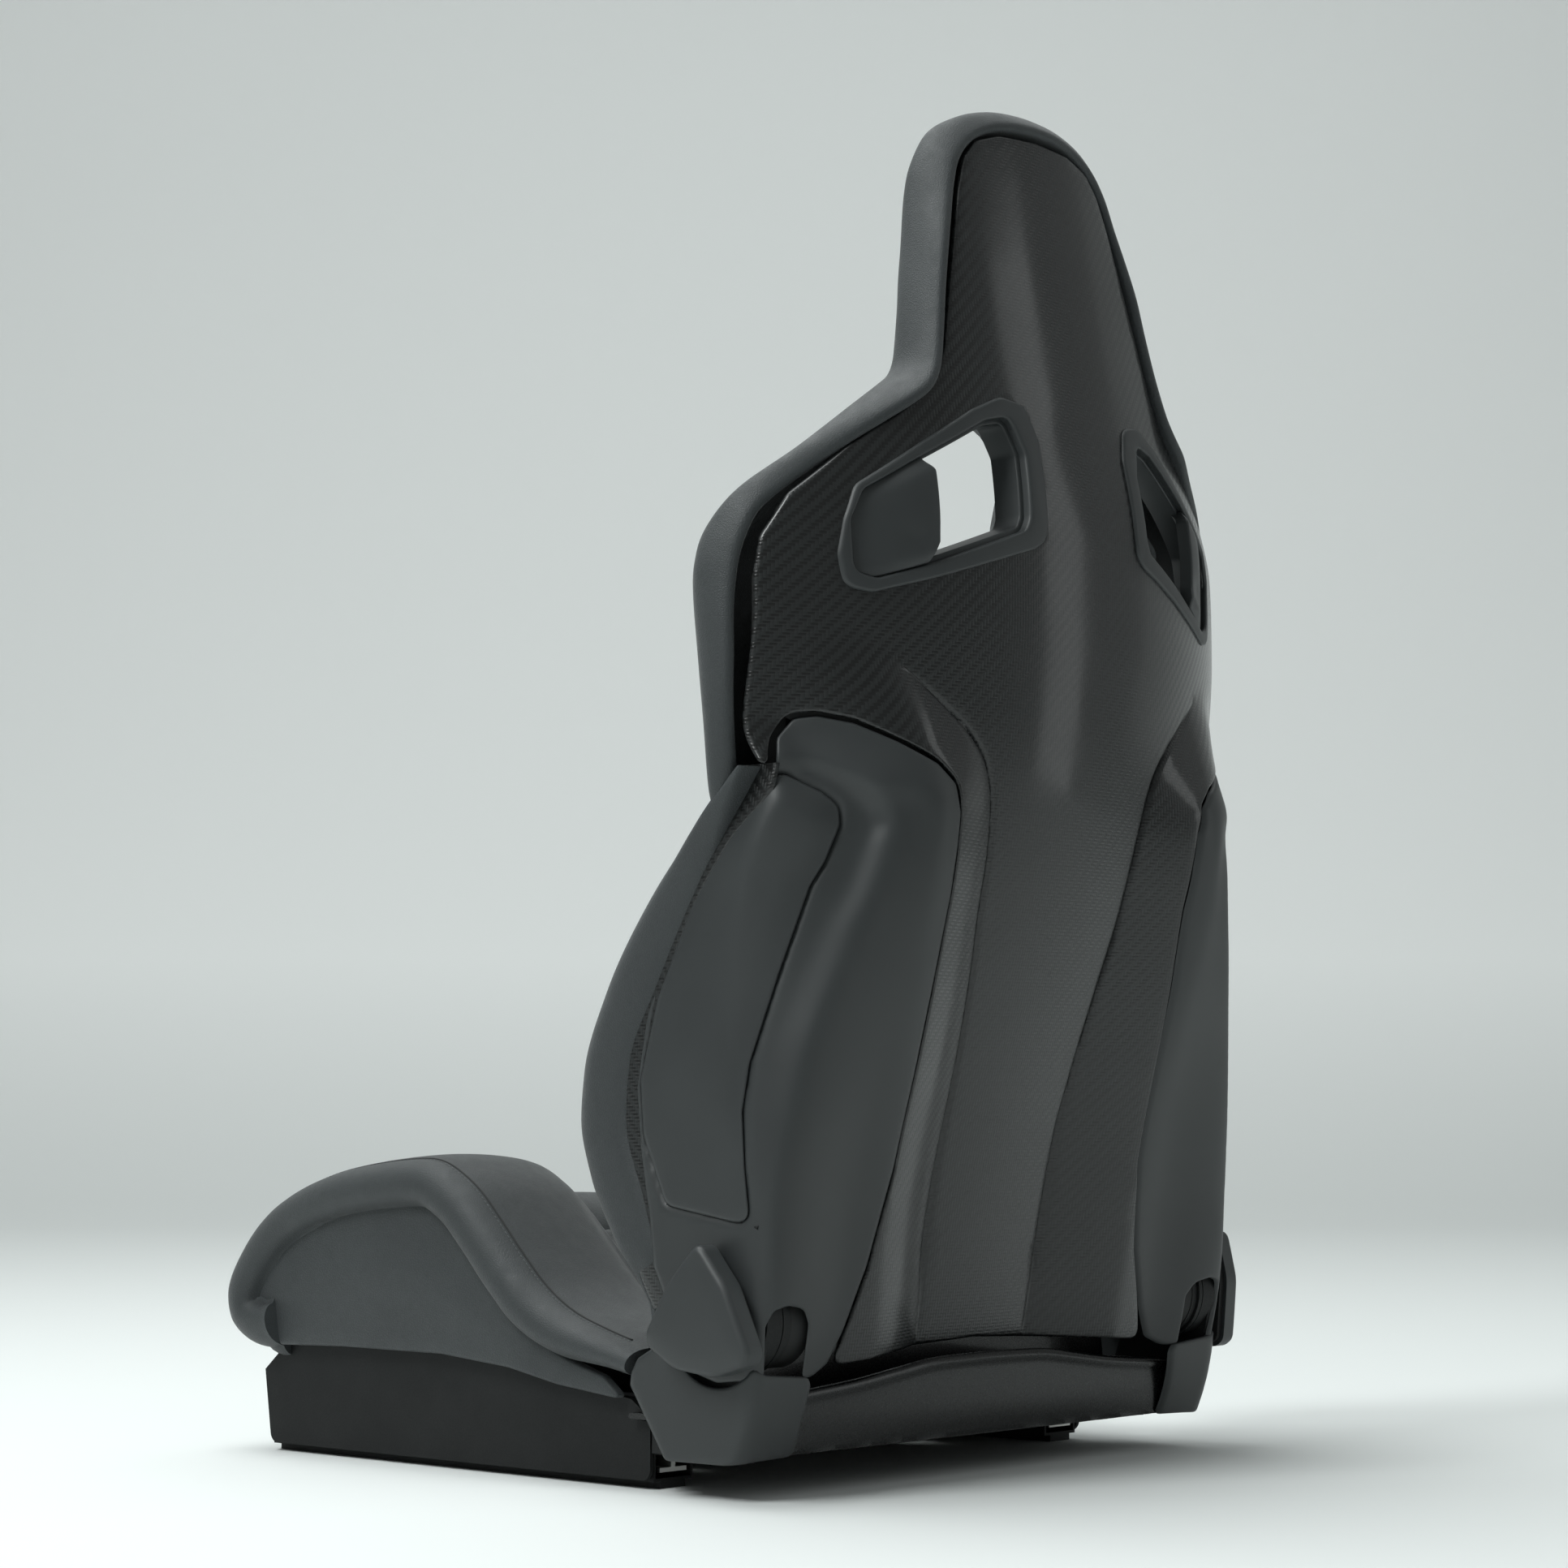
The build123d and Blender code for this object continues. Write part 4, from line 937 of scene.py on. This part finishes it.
def upper_pad():
    count = 64
    rear = spline(RIM_REAR, count)
    front = spline(RIM_FRONT, count)
    wing = spline(WING, count)
    tangent = np.gradient(rear[:, [0, 2]], axis=0)
    tangent /= np.linalg.norm(tangent, axis=1)[:, None]
    inward = np.stack([-tangent[:, 1], np.zeros(count), tangent[:, 0]], 1)
    inward[-1] = (0, 0, -1)
    rows = []
    for i in range(count):
        r, f, w, n = rear[i], front[i], wing[i], inward[i]
        close = 1 - ease(0.93, 1.0, i / (count - 1))
        outermost = f[1] + WING_SLOPE * (w[0] - f[0]) + 5
        w = np.array([w[0], max(w[1], outermost * close + w[1] * (1 - close)), w[2]])
        spine = np.array([0.0, float(PAD_SPINE(w[2])) * close + w[1] * (1 - close), w[2]])
        # rolled edge at the shell, from inside the pad out to the rear edge
        half = [r + inside_by * n + (0, rearward_by, 0) for inside_by, rearward_by in (
            (34, -30), (14, -22), (9.5, -10), (9, 0.5), (7, 2.6), (3, 2.6), (0.4, 0.4))]
        # outer side to the front edge
        half += [r + 0.22 * (f - r) - 1.6 * n, 0.5 * (r + f) - 2.2 * n, r + 0.8 * (f - r) - 1.6 * n,
                 f + (-0.4, -1.5, 0)]
        # wing to its crest, then the hollow to the spine
        swell = close * np.array([0.006 * (f[1] - w[1]), -0.02 * (f[0] - w[0]), 0])
        for share, out in ((0.12, 2.4), (0.35, 4), (0.65, 3.6), (0.88, 1.6)):
            half.append(f + share * (w - f) + out * swell)
        half.append(w)
        for share, fall in ((0.93, 0.05), (0.84, 0.22), (0.70, 0.50), (0.52, 0.76), (0.32, 0.93),
                            (0.15, 0.99)):
            half.append(np.array([w[0] * share, w[1] + fall * (spine[1] - w[1]), w[2]]))
        for p in half:
            p[0] = max(p[0], 0.0)
        rows.append(half + [spine] + [p * (-1, 1, 1) for p in reversed(half)])
    rows = np.array(rows)
    rows = np.stack([spline(rows[:, j], 150) for j in range(rows.shape[1])], 1)
    n, m, _ = rows.shape
    points = np.concatenate([rows.reshape(-1, 3), [rows[0].mean(0)]])
    faces = lattice_faces(n, m) + [((j + 1) % m, j, n * m) for j in range(m)]
    pad = make("upper_pad", points, faces)
    finer = pad.modifiers.new("finer", "SUBSURF")
    finer.levels = 1
    bpy.context.view_layer.update()
    apply_modifiers(pad)
    hole = inset(BELT_INNER, -4.0)
    outermost = hole[:, 0].max()
    for side in (-1, 1):
        rings = []
        for y, flare, grow in BELT_TUNNEL:
            ring = inset(hole, -grow)
            x = outermost - (outermost - ring[:, 0]) * flare
            rings.append(np.stack([side * x, np.full(len(ring), float(y)), ring[:, 1]], 1))
        cut(pad, loft(f"hole_{side}", rings))
    pad.data.shade_smooth()
    pad.data.set_sharp_from_angle(angle=math.radians(38))
    dress(pad, LEATHER, "backrest", "leather", "back_upper_pad", "shell_studs")
    seam = spline(WING[:-1], 260)
    seam = np.concatenate([seam, (seam * (-1, 1, 1))[::-1]])
    seam = seat_on(pad, seam, 0.25)
    sew("upper_pad_stitches", pad, seam + (0, -3, 0), 0.2, "backrest")
    dress(tube("upper_pad_seam", seam[::2], 1.1), LEATHER, "backrest", "leather")


upper_pad()

# lower back bolster, level by level: front, rear
BOLSTER_FRONT = curve([104, 116, 128, 140, 172, 211, 250, 283, 338, 398, 441, 465, 485],
                      [214, 214, 207, 197, 175, 154, 144, 147, 169, 209, 249, 280, 308])
BOLSTER_REAR = curve([104, 116, 128, 150, 193, 250, 290, 337, 387, 440, 465, 485],
                     [228, 229, 231, 231, 220, 201, 205, 228, 256, 288, 304, 315])


def back_bolster(side, mirror):
    rows = []
    inner, crest = 167, 232
    for z in np.linspace(104, 484, 46):
        f, r = float(BOLSTER_FRONT(z)), float(BOLSTER_REAR(z))
        depth = r - f
        # wider at the shoulder, drawn in at the foot to pass inside the hinge cover
        wide = 7 * float(ease(420, 470, z)) - 6.5 * (1 - float(ease(135, 165, z)))
        rows.append([(inner, r + 16, z), (inner - 2, r - 0.30 * depth + 18, z),
                     (inner + 2, f + 0.62 * depth + 6, z), (inner + 18, f + 0.36 * depth + 2, z),
                     (208, f + 9, z), (228 + wide, f + 0.6, z), (240 + wide, f - 0.6, z),
                     (250 + wide, f + 1.8, z), (257 + wide, f + 8, z), (261.5 + wide, f + 0.30 * depth, z),
                     (262.5 + wide, f + 0.55 * depth, z), (261.5 + wide, r - 0.2 * depth, z),
                     (258.5 + wide, r - 2.5, z), (252 + 0.5 * wide, r, z), (238, r + 2, z), (205, r + 10, z)])
    rows = refine(np.array(rows), 96, 72)
    pad = loft(f"back_bolster_{side}_pad", rows, mirror=mirror, sharp=60)
    dress(pad, LEATHER, "backrest", "leather", f"back_bolster_{side}")
    sign = -1 if mirror else 1
    z = np.linspace(128, 470, 200)
    path = np.stack([np.full(200, sign * crest), BOLSTER_FRONT(z), z], 1)
    sew(f"back_bolster_{side}_crest_stitches", pad, path, 0.2, "backrest")
    seam = seat_on(pad, path + (sign * -3.5, 0, 0))
    dress(tube(f"back_bolster_{side}_crest_seam", seam[::2], 0.9), TRIM_AND_SHADE, "backrest", "leather")


both(back_bolster)


def side_strip(side, mirror):
    """Carbon edge of the shell that shows between the bolster and the side cover."""
    front = curve([118, 152, 185, 228, 272, 321, 381, 433, 472, 505],
                  [245, 227, 223, 215, 211, 220, 245, 282, 322, 330])
    rows = []
    for z in np.linspace(124, 486, 70):
        inward = FACE_X - float(face_x(z))
        y = float(front(z)) - 0.9 * inward
        back = y + 9
        lead = y - 21
        ring = np.array([(258.6, back, z), (259.4, y, z), (259.0, lead + 5, z), (256.5, lead + 0.5, z),
                         (251, lead - 1, z), (238, lead + 1, z), (236, lead + 4, z), (250, lead + 2.5, z),
                         (255, lead + 5, z), (256, y, z), (255.4, back, z)])
        rows.append(ring - (inward, 0, 0))
    strip = loft(f"shell_side_{side}", refine(np.array(rows), 90, 44), mirror=mirror, sharp=60)
    dress(strip, CARBON_SIDE, "backrest", "carbon")


both(side_strip)


# ---- cushion and the back's centre pad ----
def crowned(name, profile, half, swell):
    """Pad through (y, z) outlines, crowned across its width and drawn in at its sides."""
    outline = spline(profile, 96, closed=True)
    centre = outline.mean(0)
    rows = []
    for x, shrink in ((-half, 0.90), (-half + 3, 0.955), (-half + 10, 0.985), (-half * 0.6, 1.0 + swell),
                      (0, 1.0 + 1.4 * swell), (half * 0.6, 1.0 + swell), (half - 10, 0.985),
                      (half - 3, 0.955), (half, 0.90)):
        ring = centre + (outline - centre) * shrink
        rows.append(np.stack([np.full(len(ring), float(x)), ring[:, 0], ring[:, 1]], 1))
    return loft(name, refine(np.array(rows), 60, 140))


def quilt(pad, lines, depth, width, across, thread_name, material, body, slot, node):
    """Press sewn channels into a pad along 3-D lines, dress it and stitch both sides of each channel."""
    lines = [seat_on(pad, line) for line in lines]
    crease(pad, lines, depth, width)
    pad.data.shade_smooth()
    dress(pad, material, body, slot, node)
    rows = []
    for line in lines:
        for sign in (-1, 1):
            rows.append(stitches(thread_name, seat_on(pad, line + sign * np.array(across), 0.2)))
    dress(join(rows), THREAD, body, slot)


CUSHION_HALF = 127
BACK_HALF = 164


def cushion_centre():
    pad = crowned("cushion_centre", [(-146, 56), (-147, 110), (-145, 156), (-138, 160), (-118, 142),
                                     (-60, 118), (0, 106), (60, 99), (120, 97), (170, 96), (184, 88),
                                     (184, 60), (120, 52), (0, 52), (-100, 52)], CUSHION_HALF, 0.01)
    inflate(pad, 3.0)
    x = np.linspace(-CUSHION_HALF, CUSHION_HALF, 140)
    top = curve([-146, -120, -60, 0, 60, 186], [160, 144, 118, 106, 99, 96])
    channels = []
    for y in (-96, -44, 8, 60, 112):
        channels.append(np.stack([x, np.full(140, float(y)), np.full(140, float(top(y))) + 3], 1))
    quilt(pad, channels, 3.6, 4.2, (0, 2.6, 0), "cushion_channel_stitches_0_False", CENTRE, "seat_base",
          "leather_centre", "cushion_centre_pad")


def cushion_front():
    roll = crowned("cushion_front", [(-190, 68), (-206, 78), (-228, 96), (-238, 112), (-241, 131),
                                     (-236, 158), (-222, 177), (-204, 186), (-184, 184), (-166, 175),
                                     (-152, 165), (-149, 150), (-149, 100), (-151, 66)], CUSHION_HALF, 0.008)
    inflate(roll, 3.0)
    x = np.linspace(-CUSHION_HALF, CUSHION_HALF, 160)
    line = np.stack([x, np.full(160, -216.0), np.full(160, 184.0)], 1)
    quilt(roll, [line], 1.8, 3.0, (0, 2.8, 0), "cushion_front_stitches_-2.8", LEATHER, "seat_base",
          "leather", "cushion_front_roll")


# top line of the side bolsters, from the bottom of the nose over the crest to the rear end
BOLSTER_LINE = [(-176, 78), (-192, 76), (-212, 80), (-229, 92), (-236, 112), (-232, 132), (-214, 158),
                (-190, 180), (-160, 196), (-124, 208), (-88, 215), (-55, 219), (-25, 221), (-5, 219),
                (14, 211), (34, 198), (56, 177), (80, 153), (104, 132), (130, 117), (160, 107),
                (186, 100), (202, 96)]
BAND = [(240, 0.6), (247, 1.6), (254, 5), (259, 10), (261.6, 17), (261.6, 24), (259, 29.5), (255.5, 32.5),
        (251.5, 34), (249, 36)]


def cushion_bolster(side, mirror):
    count = 120
    line = spline(BOLSTER_LINE, count)
    tangent = np.gradient(line, axis=0)
    tangent /= np.linalg.norm(tangent, axis=1)[:, None]
    inward = np.stack([tangent[:, 1], -tangent[:, 0]], 1)
    rows = []
    for i in range(count):
        p, n = line[i], inward[i]
        anchor = np.array([np.clip(p[0], -176, 190), 72.0 - 14 * float(ease(60, 190, p[0]))])
        tail = 1 - 0.45 * float(ease(0.80, 1.0, i / (count - 1)))
        # the rolled band, then under and inside, then over the top
        ring = [(x, *(p + n * deep * tail)) for x, deep in BAND]
        ring += [(x, *(p + (anchor - p) * share)) for x, share in (
            (243, 0.52), (215, 0.70), (160, 0.80), (136, 0.78), (131.5, 0.70), (130.5, 0.40), (131.5, 0.16))]
        ring += [(x, *(p - n * rise)) for x, rise in (
            (137, -9), (152, -2.5), (178, 1.2), (205, 2.4), (228, 1.6))]
        rows.append(ring)
    rows = refine(np.array(rows), 200, 92)
    pad = loft(f"cushion_bolster_{side}_roll", rows, mirror=mirror, sharp=70)
    dress(pad, LEATHER, "seat_base", "leather", f"cushion_bolster_{side}")

    # the smooth side panel inside the roll
    ring = [tuple(line[i] + inward[i] * 29.0) for i in range(14, count - 6)]
    loop = np.array(ring + [(186, 60), (120, 67), (71, 76), (0, 82), (-110, 82), (-176, 80), (-186, 84)])
    loop = rounded(loop, 4, 3.0)

    def surface(flat):
        depth = 249.5 + 3.2 * ease(4, 70, distance(flat, loop)) * np.cos((flat[:, 0] + 40) / 260)
        return np.stack([depth, flat[:, 0], flat[:, 1]], 1)
    side_panel = panel(f"cushion_side_panel_{side}", [loop], surface, OUTWARD, 7, 2.5, 7.0, mirror=mirror,
                       sharp=60)
    dress(side_panel, LEATHER, "seat_base", "leather")

    sign = -1 if mirror else 1
    seam = np.array([(sign * 240, y, z) for y, z in line[6:-3]])
    seam = seat_on(pad, spline(seam, 260))
    dress(tube(f"cushion_bolster_{side}_seam", seam[::2], 0.8), TRIM_AND_SHADE, "seat_base", "leather")
    sew(f"cushion_bolster_{side}_stitches", pad, seam + (sign * 3.2, 0, 0), 0.15, "seat_base", length=2.6,
        gap=1.2, radius=0.34)


def back_centre():
    pad = crowned("back_centre", [(246, 130), (232, 148), (224, 180), (224, 215), (231, 255), (243, 295),
                                  (257, 340), (271, 380), (288, 425), (302, 455), (310, 473), (320, 474),
                                  (314, 430), (304, 380), (294, 330), (284, 285), (272, 230), (266, 180),
                                  (262, 132)], BACK_HALF, 0.006)
    inflate(pad, 2.5)
    z = np.linspace(132, 472, 150)
    y = np.interp(z, [130, 180, 300, 474], [232, 220, 243, 306]) - 4
    channels = [np.stack([np.full(150, float(x)), y, z], 1) for x in (-96, -32, 32, 96)]
    quilt(pad, channels, 3.4, 4.2, (2.6, 0, 0), "back_channel_stitches_0_False", CENTRE, "backrest",
          "leather_centre", "back_centre_pad")


cushion_centre()
cushion_front()
both(cushion_bolster)
back_centre()


# ---- recliner knobs, hinge covers and rear crossmember ----
HINGE_Y, HINGE_Z = 285.0, 118.0
HINGE_CLEARANCE = 43.5           # radius of the hollow in the hinge cover's top
RIGHT_KNOB_TURN = math.radians(-30)


def recliner_knob(side, mirror):
    """Rounded three-cornered hand knob with a domed face and a finger groove round its foot."""
    outline = rounded([(286, 172, 9), (260, 145, 40), (238, 110, 9), (240, 100, 9), (264, 87, 30),
                        (300, 83, 30), (328, 92, 9), (332, 101, 9), (312, 143, 40)], 12, 2.0)
    if mirror:
        turn = RIGHT_KNOB_TURN
        spoke = outline - (HINGE_Y, HINGE_Z)
        outline = np.stack([HINGE_Y + spoke[:, 0] * math.cos(turn) - spoke[:, 1] * math.sin(turn),
                            HINGE_Z + spoke[:, 0] * math.sin(turn) + spoke[:, 1] * math.cos(turn)], 1)
    if area(outline) < 0:
        outline = outline[::-1]

    def face(flat):
        away = np.hypot(flat[:, 0] - HINGE_Y, flat[:, 1] - HINGE_Z)
        rim = distance(flat, outline)
        x = 286 - 1.6 * (away / 50) ** 2 - 1.2 * (1 - ease(0, 14, rim))
        return np.stack([x, flat[:, 0], flat[:, 1]], 1)
    knob = panel(f"recliner_knob_{side}_cap", [outline], face, OUTWARD, 15.5, 4.5, 4.5, mirror=mirror,
                 sharp=70, steps=6)
    dress(knob, PLASTIC, "recliner_drive", "satin_plastic", f"recliner_knob_{side}")
    foot = inset(outline, 3.2)

    def low(flat):
        return np.stack([np.full(len(flat), 272.0), flat[:, 0], flat[:, 1]], 1)
    base = panel(f"recliner_knob_{side}_foot", [foot], low, OUTWARD, 8.0, 1.2, 6.0, mirror=mirror, sharp=60)
    dress(base, TRIM_AND_SHADE, "recliner_drive", "satin_plastic")


def hinge_cover(side, mirror):
    """Moulded cover that wraps the base's rear corner; its top is hollowed round the backrest."""
    rear_y = curve([20, 24, 80, 100], [297, 300, 317, 319])
    turn = 9.0

    def surface(flat):
        a, z = flat[:, 0], flat[:, 1]
        side_face = 2 * FACE_X * ROOT - a
        rear_face = a + 2 * ROOT * rear_y(z)
        gap = np.clip((side_face - rear_face) / (2 * turn), -1, 1)
        h = np.minimum(side_face, rear_face) - turn * 0.5 * (1 - np.abs(gap)) ** 2
        return np.stack([(a + h) * ROOT, (h - a) * ROOT, z], 1)
    flank = [(206, 80), (212, 90), (229, 99)]
    for angle in np.linspace(195, 318, 12):
        y = HINGE_Y + HINGE_CLEARANCE * math.cos(math.radians(angle))
        flank.append((y, HINGE_Z + HINGE_CLEARANCE * math.sin(math.radians(angle))))
    outline = [(fold_flat(FACE_X, y)[0], z) for y, z in [(238, 24), (205, 72)] + flank]
    for x, z in ((250, 84), (207, 80), (204, 74), (206, 30), (210, 27), (240, 26)):
        outline.append((fold_flat(x, float(rear_y(z)))[0], z))
    outline.append((fold_flat(FACE_X, 292)[0], 24.5))
    loop = rounded(outline, 4, 2.2)
    cover = panel(f"hinge_cover_{side}_shell", [loop], surface, CORNER, 4.2, 2.4, 3.2, mirror=mirror,
                  sharp=60)
    dress(cover, PLASTIC, "seat_base", "satin_plastic", f"hinge_cover_{side}")


def rear_crossmember():
    """Pressed channel with a rolled upper edge, and a tray that closes the base ahead of it."""
    edge_roll = 4.2
    top = curve([0, 55, 100, 140, 200, 248], [86, 85, 80, 75, 70, 66])
    web_top = curve([0, 190, 200, 248], [101, 100, 42, 40])
    rows = []
    for x in np.linspace(-247.5, 247.5, 160):
        t = float(top(abs(x)))
        bow = 2.5 * (1 - (x / 248) ** 2)
        ring = []
        for angle in np.linspace(-60, 200, 12):
            turn = math.radians(angle)
            y = 300.5 + bow + edge_roll * math.cos(turn)
            ring.append((x, y, t - edge_roll + edge_roll * math.sin(turn)))
        web = float(web_top(abs(x)))
        ring += [(x, y, z) for y, z in (
            (297 + bow, t - 10), (297.5 + bow, 46), (293 + bow, 31.5), (262, 30), (258, 35), (257.5, 56),
            (257, web - 2), (256, web), (255, web - 2), (254.5, 56), (251, 52), (194, 52), (190, 50),
            (194, 48), (252, 48), (255, 44), (255.5, 32), (260, 27.3), (294 + bow, 27.3), (298 + bow, 31),
            (301 + bow, 46), (302 + bow, t - 14))]
        rows.append(ring)
    beam = loft("rear_crossmember_pressing", refine(np.array(rows), 160, 150), sharp=60)
    dress(beam, GLOSS_STEEL, "seat_base", "gloss_black_steel", "rear_crossmember")


def hinge_shroud(side, mirror):
    """Near-black matte shroud round the recliner, seen through the notch in the side cover; its near-black is
    painted shade for the inside of the notch.
    """
    rows = []
    for angle in np.linspace(-75, 100, 40):
        turn = math.radians(angle)
        rows.append([(x, HINGE_Y + r * math.cos(turn), HINGE_Z + r * math.sin(turn))
                     for x, r in ((206, 33.5), (257, 33.5), (257, 31.8), (206, 31.8))])
    shroud = loft(f"hinge_shroud_{side}", np.array(rows), mirror=mirror, sharp=40)
    dress(shroud, TRIM_AND_SHADE, "backrest", "satin_plastic")


both(recliner_knob)
both(hinge_cover)
both(hinge_shroud)
rear_crossmember()


# ---- finishes of the pieces that come straight from the frame ----
CAD_FINISH = [
    (MATTE_STEEL, ("lower_rail", "base_side", "hinge_bracket", "handle_bracket", "slide_handle",
                   "front_cross_tube", "rear_cross_tube", "cushion_pan", "back_side_member",
                   "upper_cross_tube", "head_frame_hoop", "recliner_housing", "lever_hinge_pins",
                   "recliner_cross_shaft", "carrier_plate", "recliner_gear")),
    (ZINC, ("upper_rail", "latch_arm", "back_suspension", "fold_catch")),
    (BRIGHT, ("rail_balls", "frame_pins", "base_bolts", "bracket_bolts")),
    (CAGE, ("ball_cage",)),
]
for material, stems in CAD_FINISH:
    for name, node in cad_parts.items():
        if name.startswith(stems):
            node.data.materials.clear()
            node.data.materials.append(material)


# ---- stage, light and camera ----
def stage():
    """Seamless pale floor that curves up into a wall behind the seat."""
    camera_place = Vector((1.949, 1.874, 0.270))
    camera_way = Vector((-0.7381, -0.6691, 0.0875)).normalized()
    away = Vector((camera_way.x, camera_way.y, 0)).normalized()
    across = Vector((-away.y, away.x, 0))
    floor_end, bend = 7.0, 3.4
    profile = [(-6.0, 0.0), (floor_end, 0.0)]
    for k in range(1, 13):
        turn = math.pi / 2 * k / 12
        profile.append((floor_end + bend * math.sin(turn), bend * (1 - math.cos(turn))))
    profile.append((floor_end + bend, 9.0))
    start = Vector((camera_place.x, camera_place.y, 0))
    points, faces = [], []
    for d, z in profile:
        for s in (-14, 14):
            p = start + away * d + across * s
            points.append((p.x / MM, p.y / MM, z / MM))
    for i in range(len(profile) - 1):
        faces.append((2 * i, 2 * i + 1, 2 * i + 3, 2 * i + 2))
    backdrop = make("backdrop", points, faces)
    # the wall glows a little, the floor doesn't
    n = Nodes("backdrop_paper")
    glow = n.range(n.axes()[2], 0.0, 0.6, 0.0, 0.20)
    n.finish((0.80, 0.825, 0.818), 0.9, n.bump(n.noise(60, 3.0), 0.0004, 0.2), Specular_IOR_Level=0.1,
             Emission_Color=(0.80, 0.83, 0.82, 1), Emission_Strength=glow)
    backdrop.data.materials.append(n.material)

    data = bpy.data.cameras.new("camera")
    data.lens = 80
    data.sensor_width = 36
    data.clip_end = 100
    camera = bpy.data.objects.new("camera", data)
    bpy.context.scene.collection.objects.link(camera)
    camera.location = camera_place
    camera.rotation_euler = camera_way.to_track_quat("-Z", "Y").to_euler()
    bpy.context.scene.camera = camera


def lamp(name, place, target, size, power, colour):
    data = bpy.data.lights.new(name, "AREA")
    data.shape = "RECTANGLE"
    data.size, data.size_y = size
    data.energy = power
    data.color = colour
    obj = bpy.data.objects.new(name, data)
    bpy.context.scene.collection.objects.link(obj)
    obj.location = place
    obj.rotation_euler = (Vector(target) - Vector(place)).to_track_quat("-Z", "Y").to_euler()


def lights():
    bpy.context.scene.view_settings.view_transform = "Standard"
    world = bpy.data.worlds.new("studio")
    bpy.context.scene.world = world
    world.use_nodes = True
    background = world.node_tree.nodes["Background"]
    background.inputs["Color"].default_value = (0.80, 0.84, 0.83, 1)
    background.inputs["Strength"].default_value = 0.25
    cool = (0.96, 1.0, 0.995)
    lamp("overhead", (0.5, -0.6, 3.6), (0, 0.1, 0.4), (2.2, 2.2), 72, cool)
    lamp("left_key", (2.3, 0.1, 2.5), (0, 0.2, 0.65), (1.0, 1.4), 55, cool)
    lamp("rear_strip", (-2.2, 2.8, 1.2), (0, 0.3, 0.4), (0.7, 2.6), 8, cool)
    lamp("floor_wash", (-2.2, -2.4, 4.2), (-2.8, -3.0, 0), (6.0, 6.0), 80, cool)


stage()
lights()
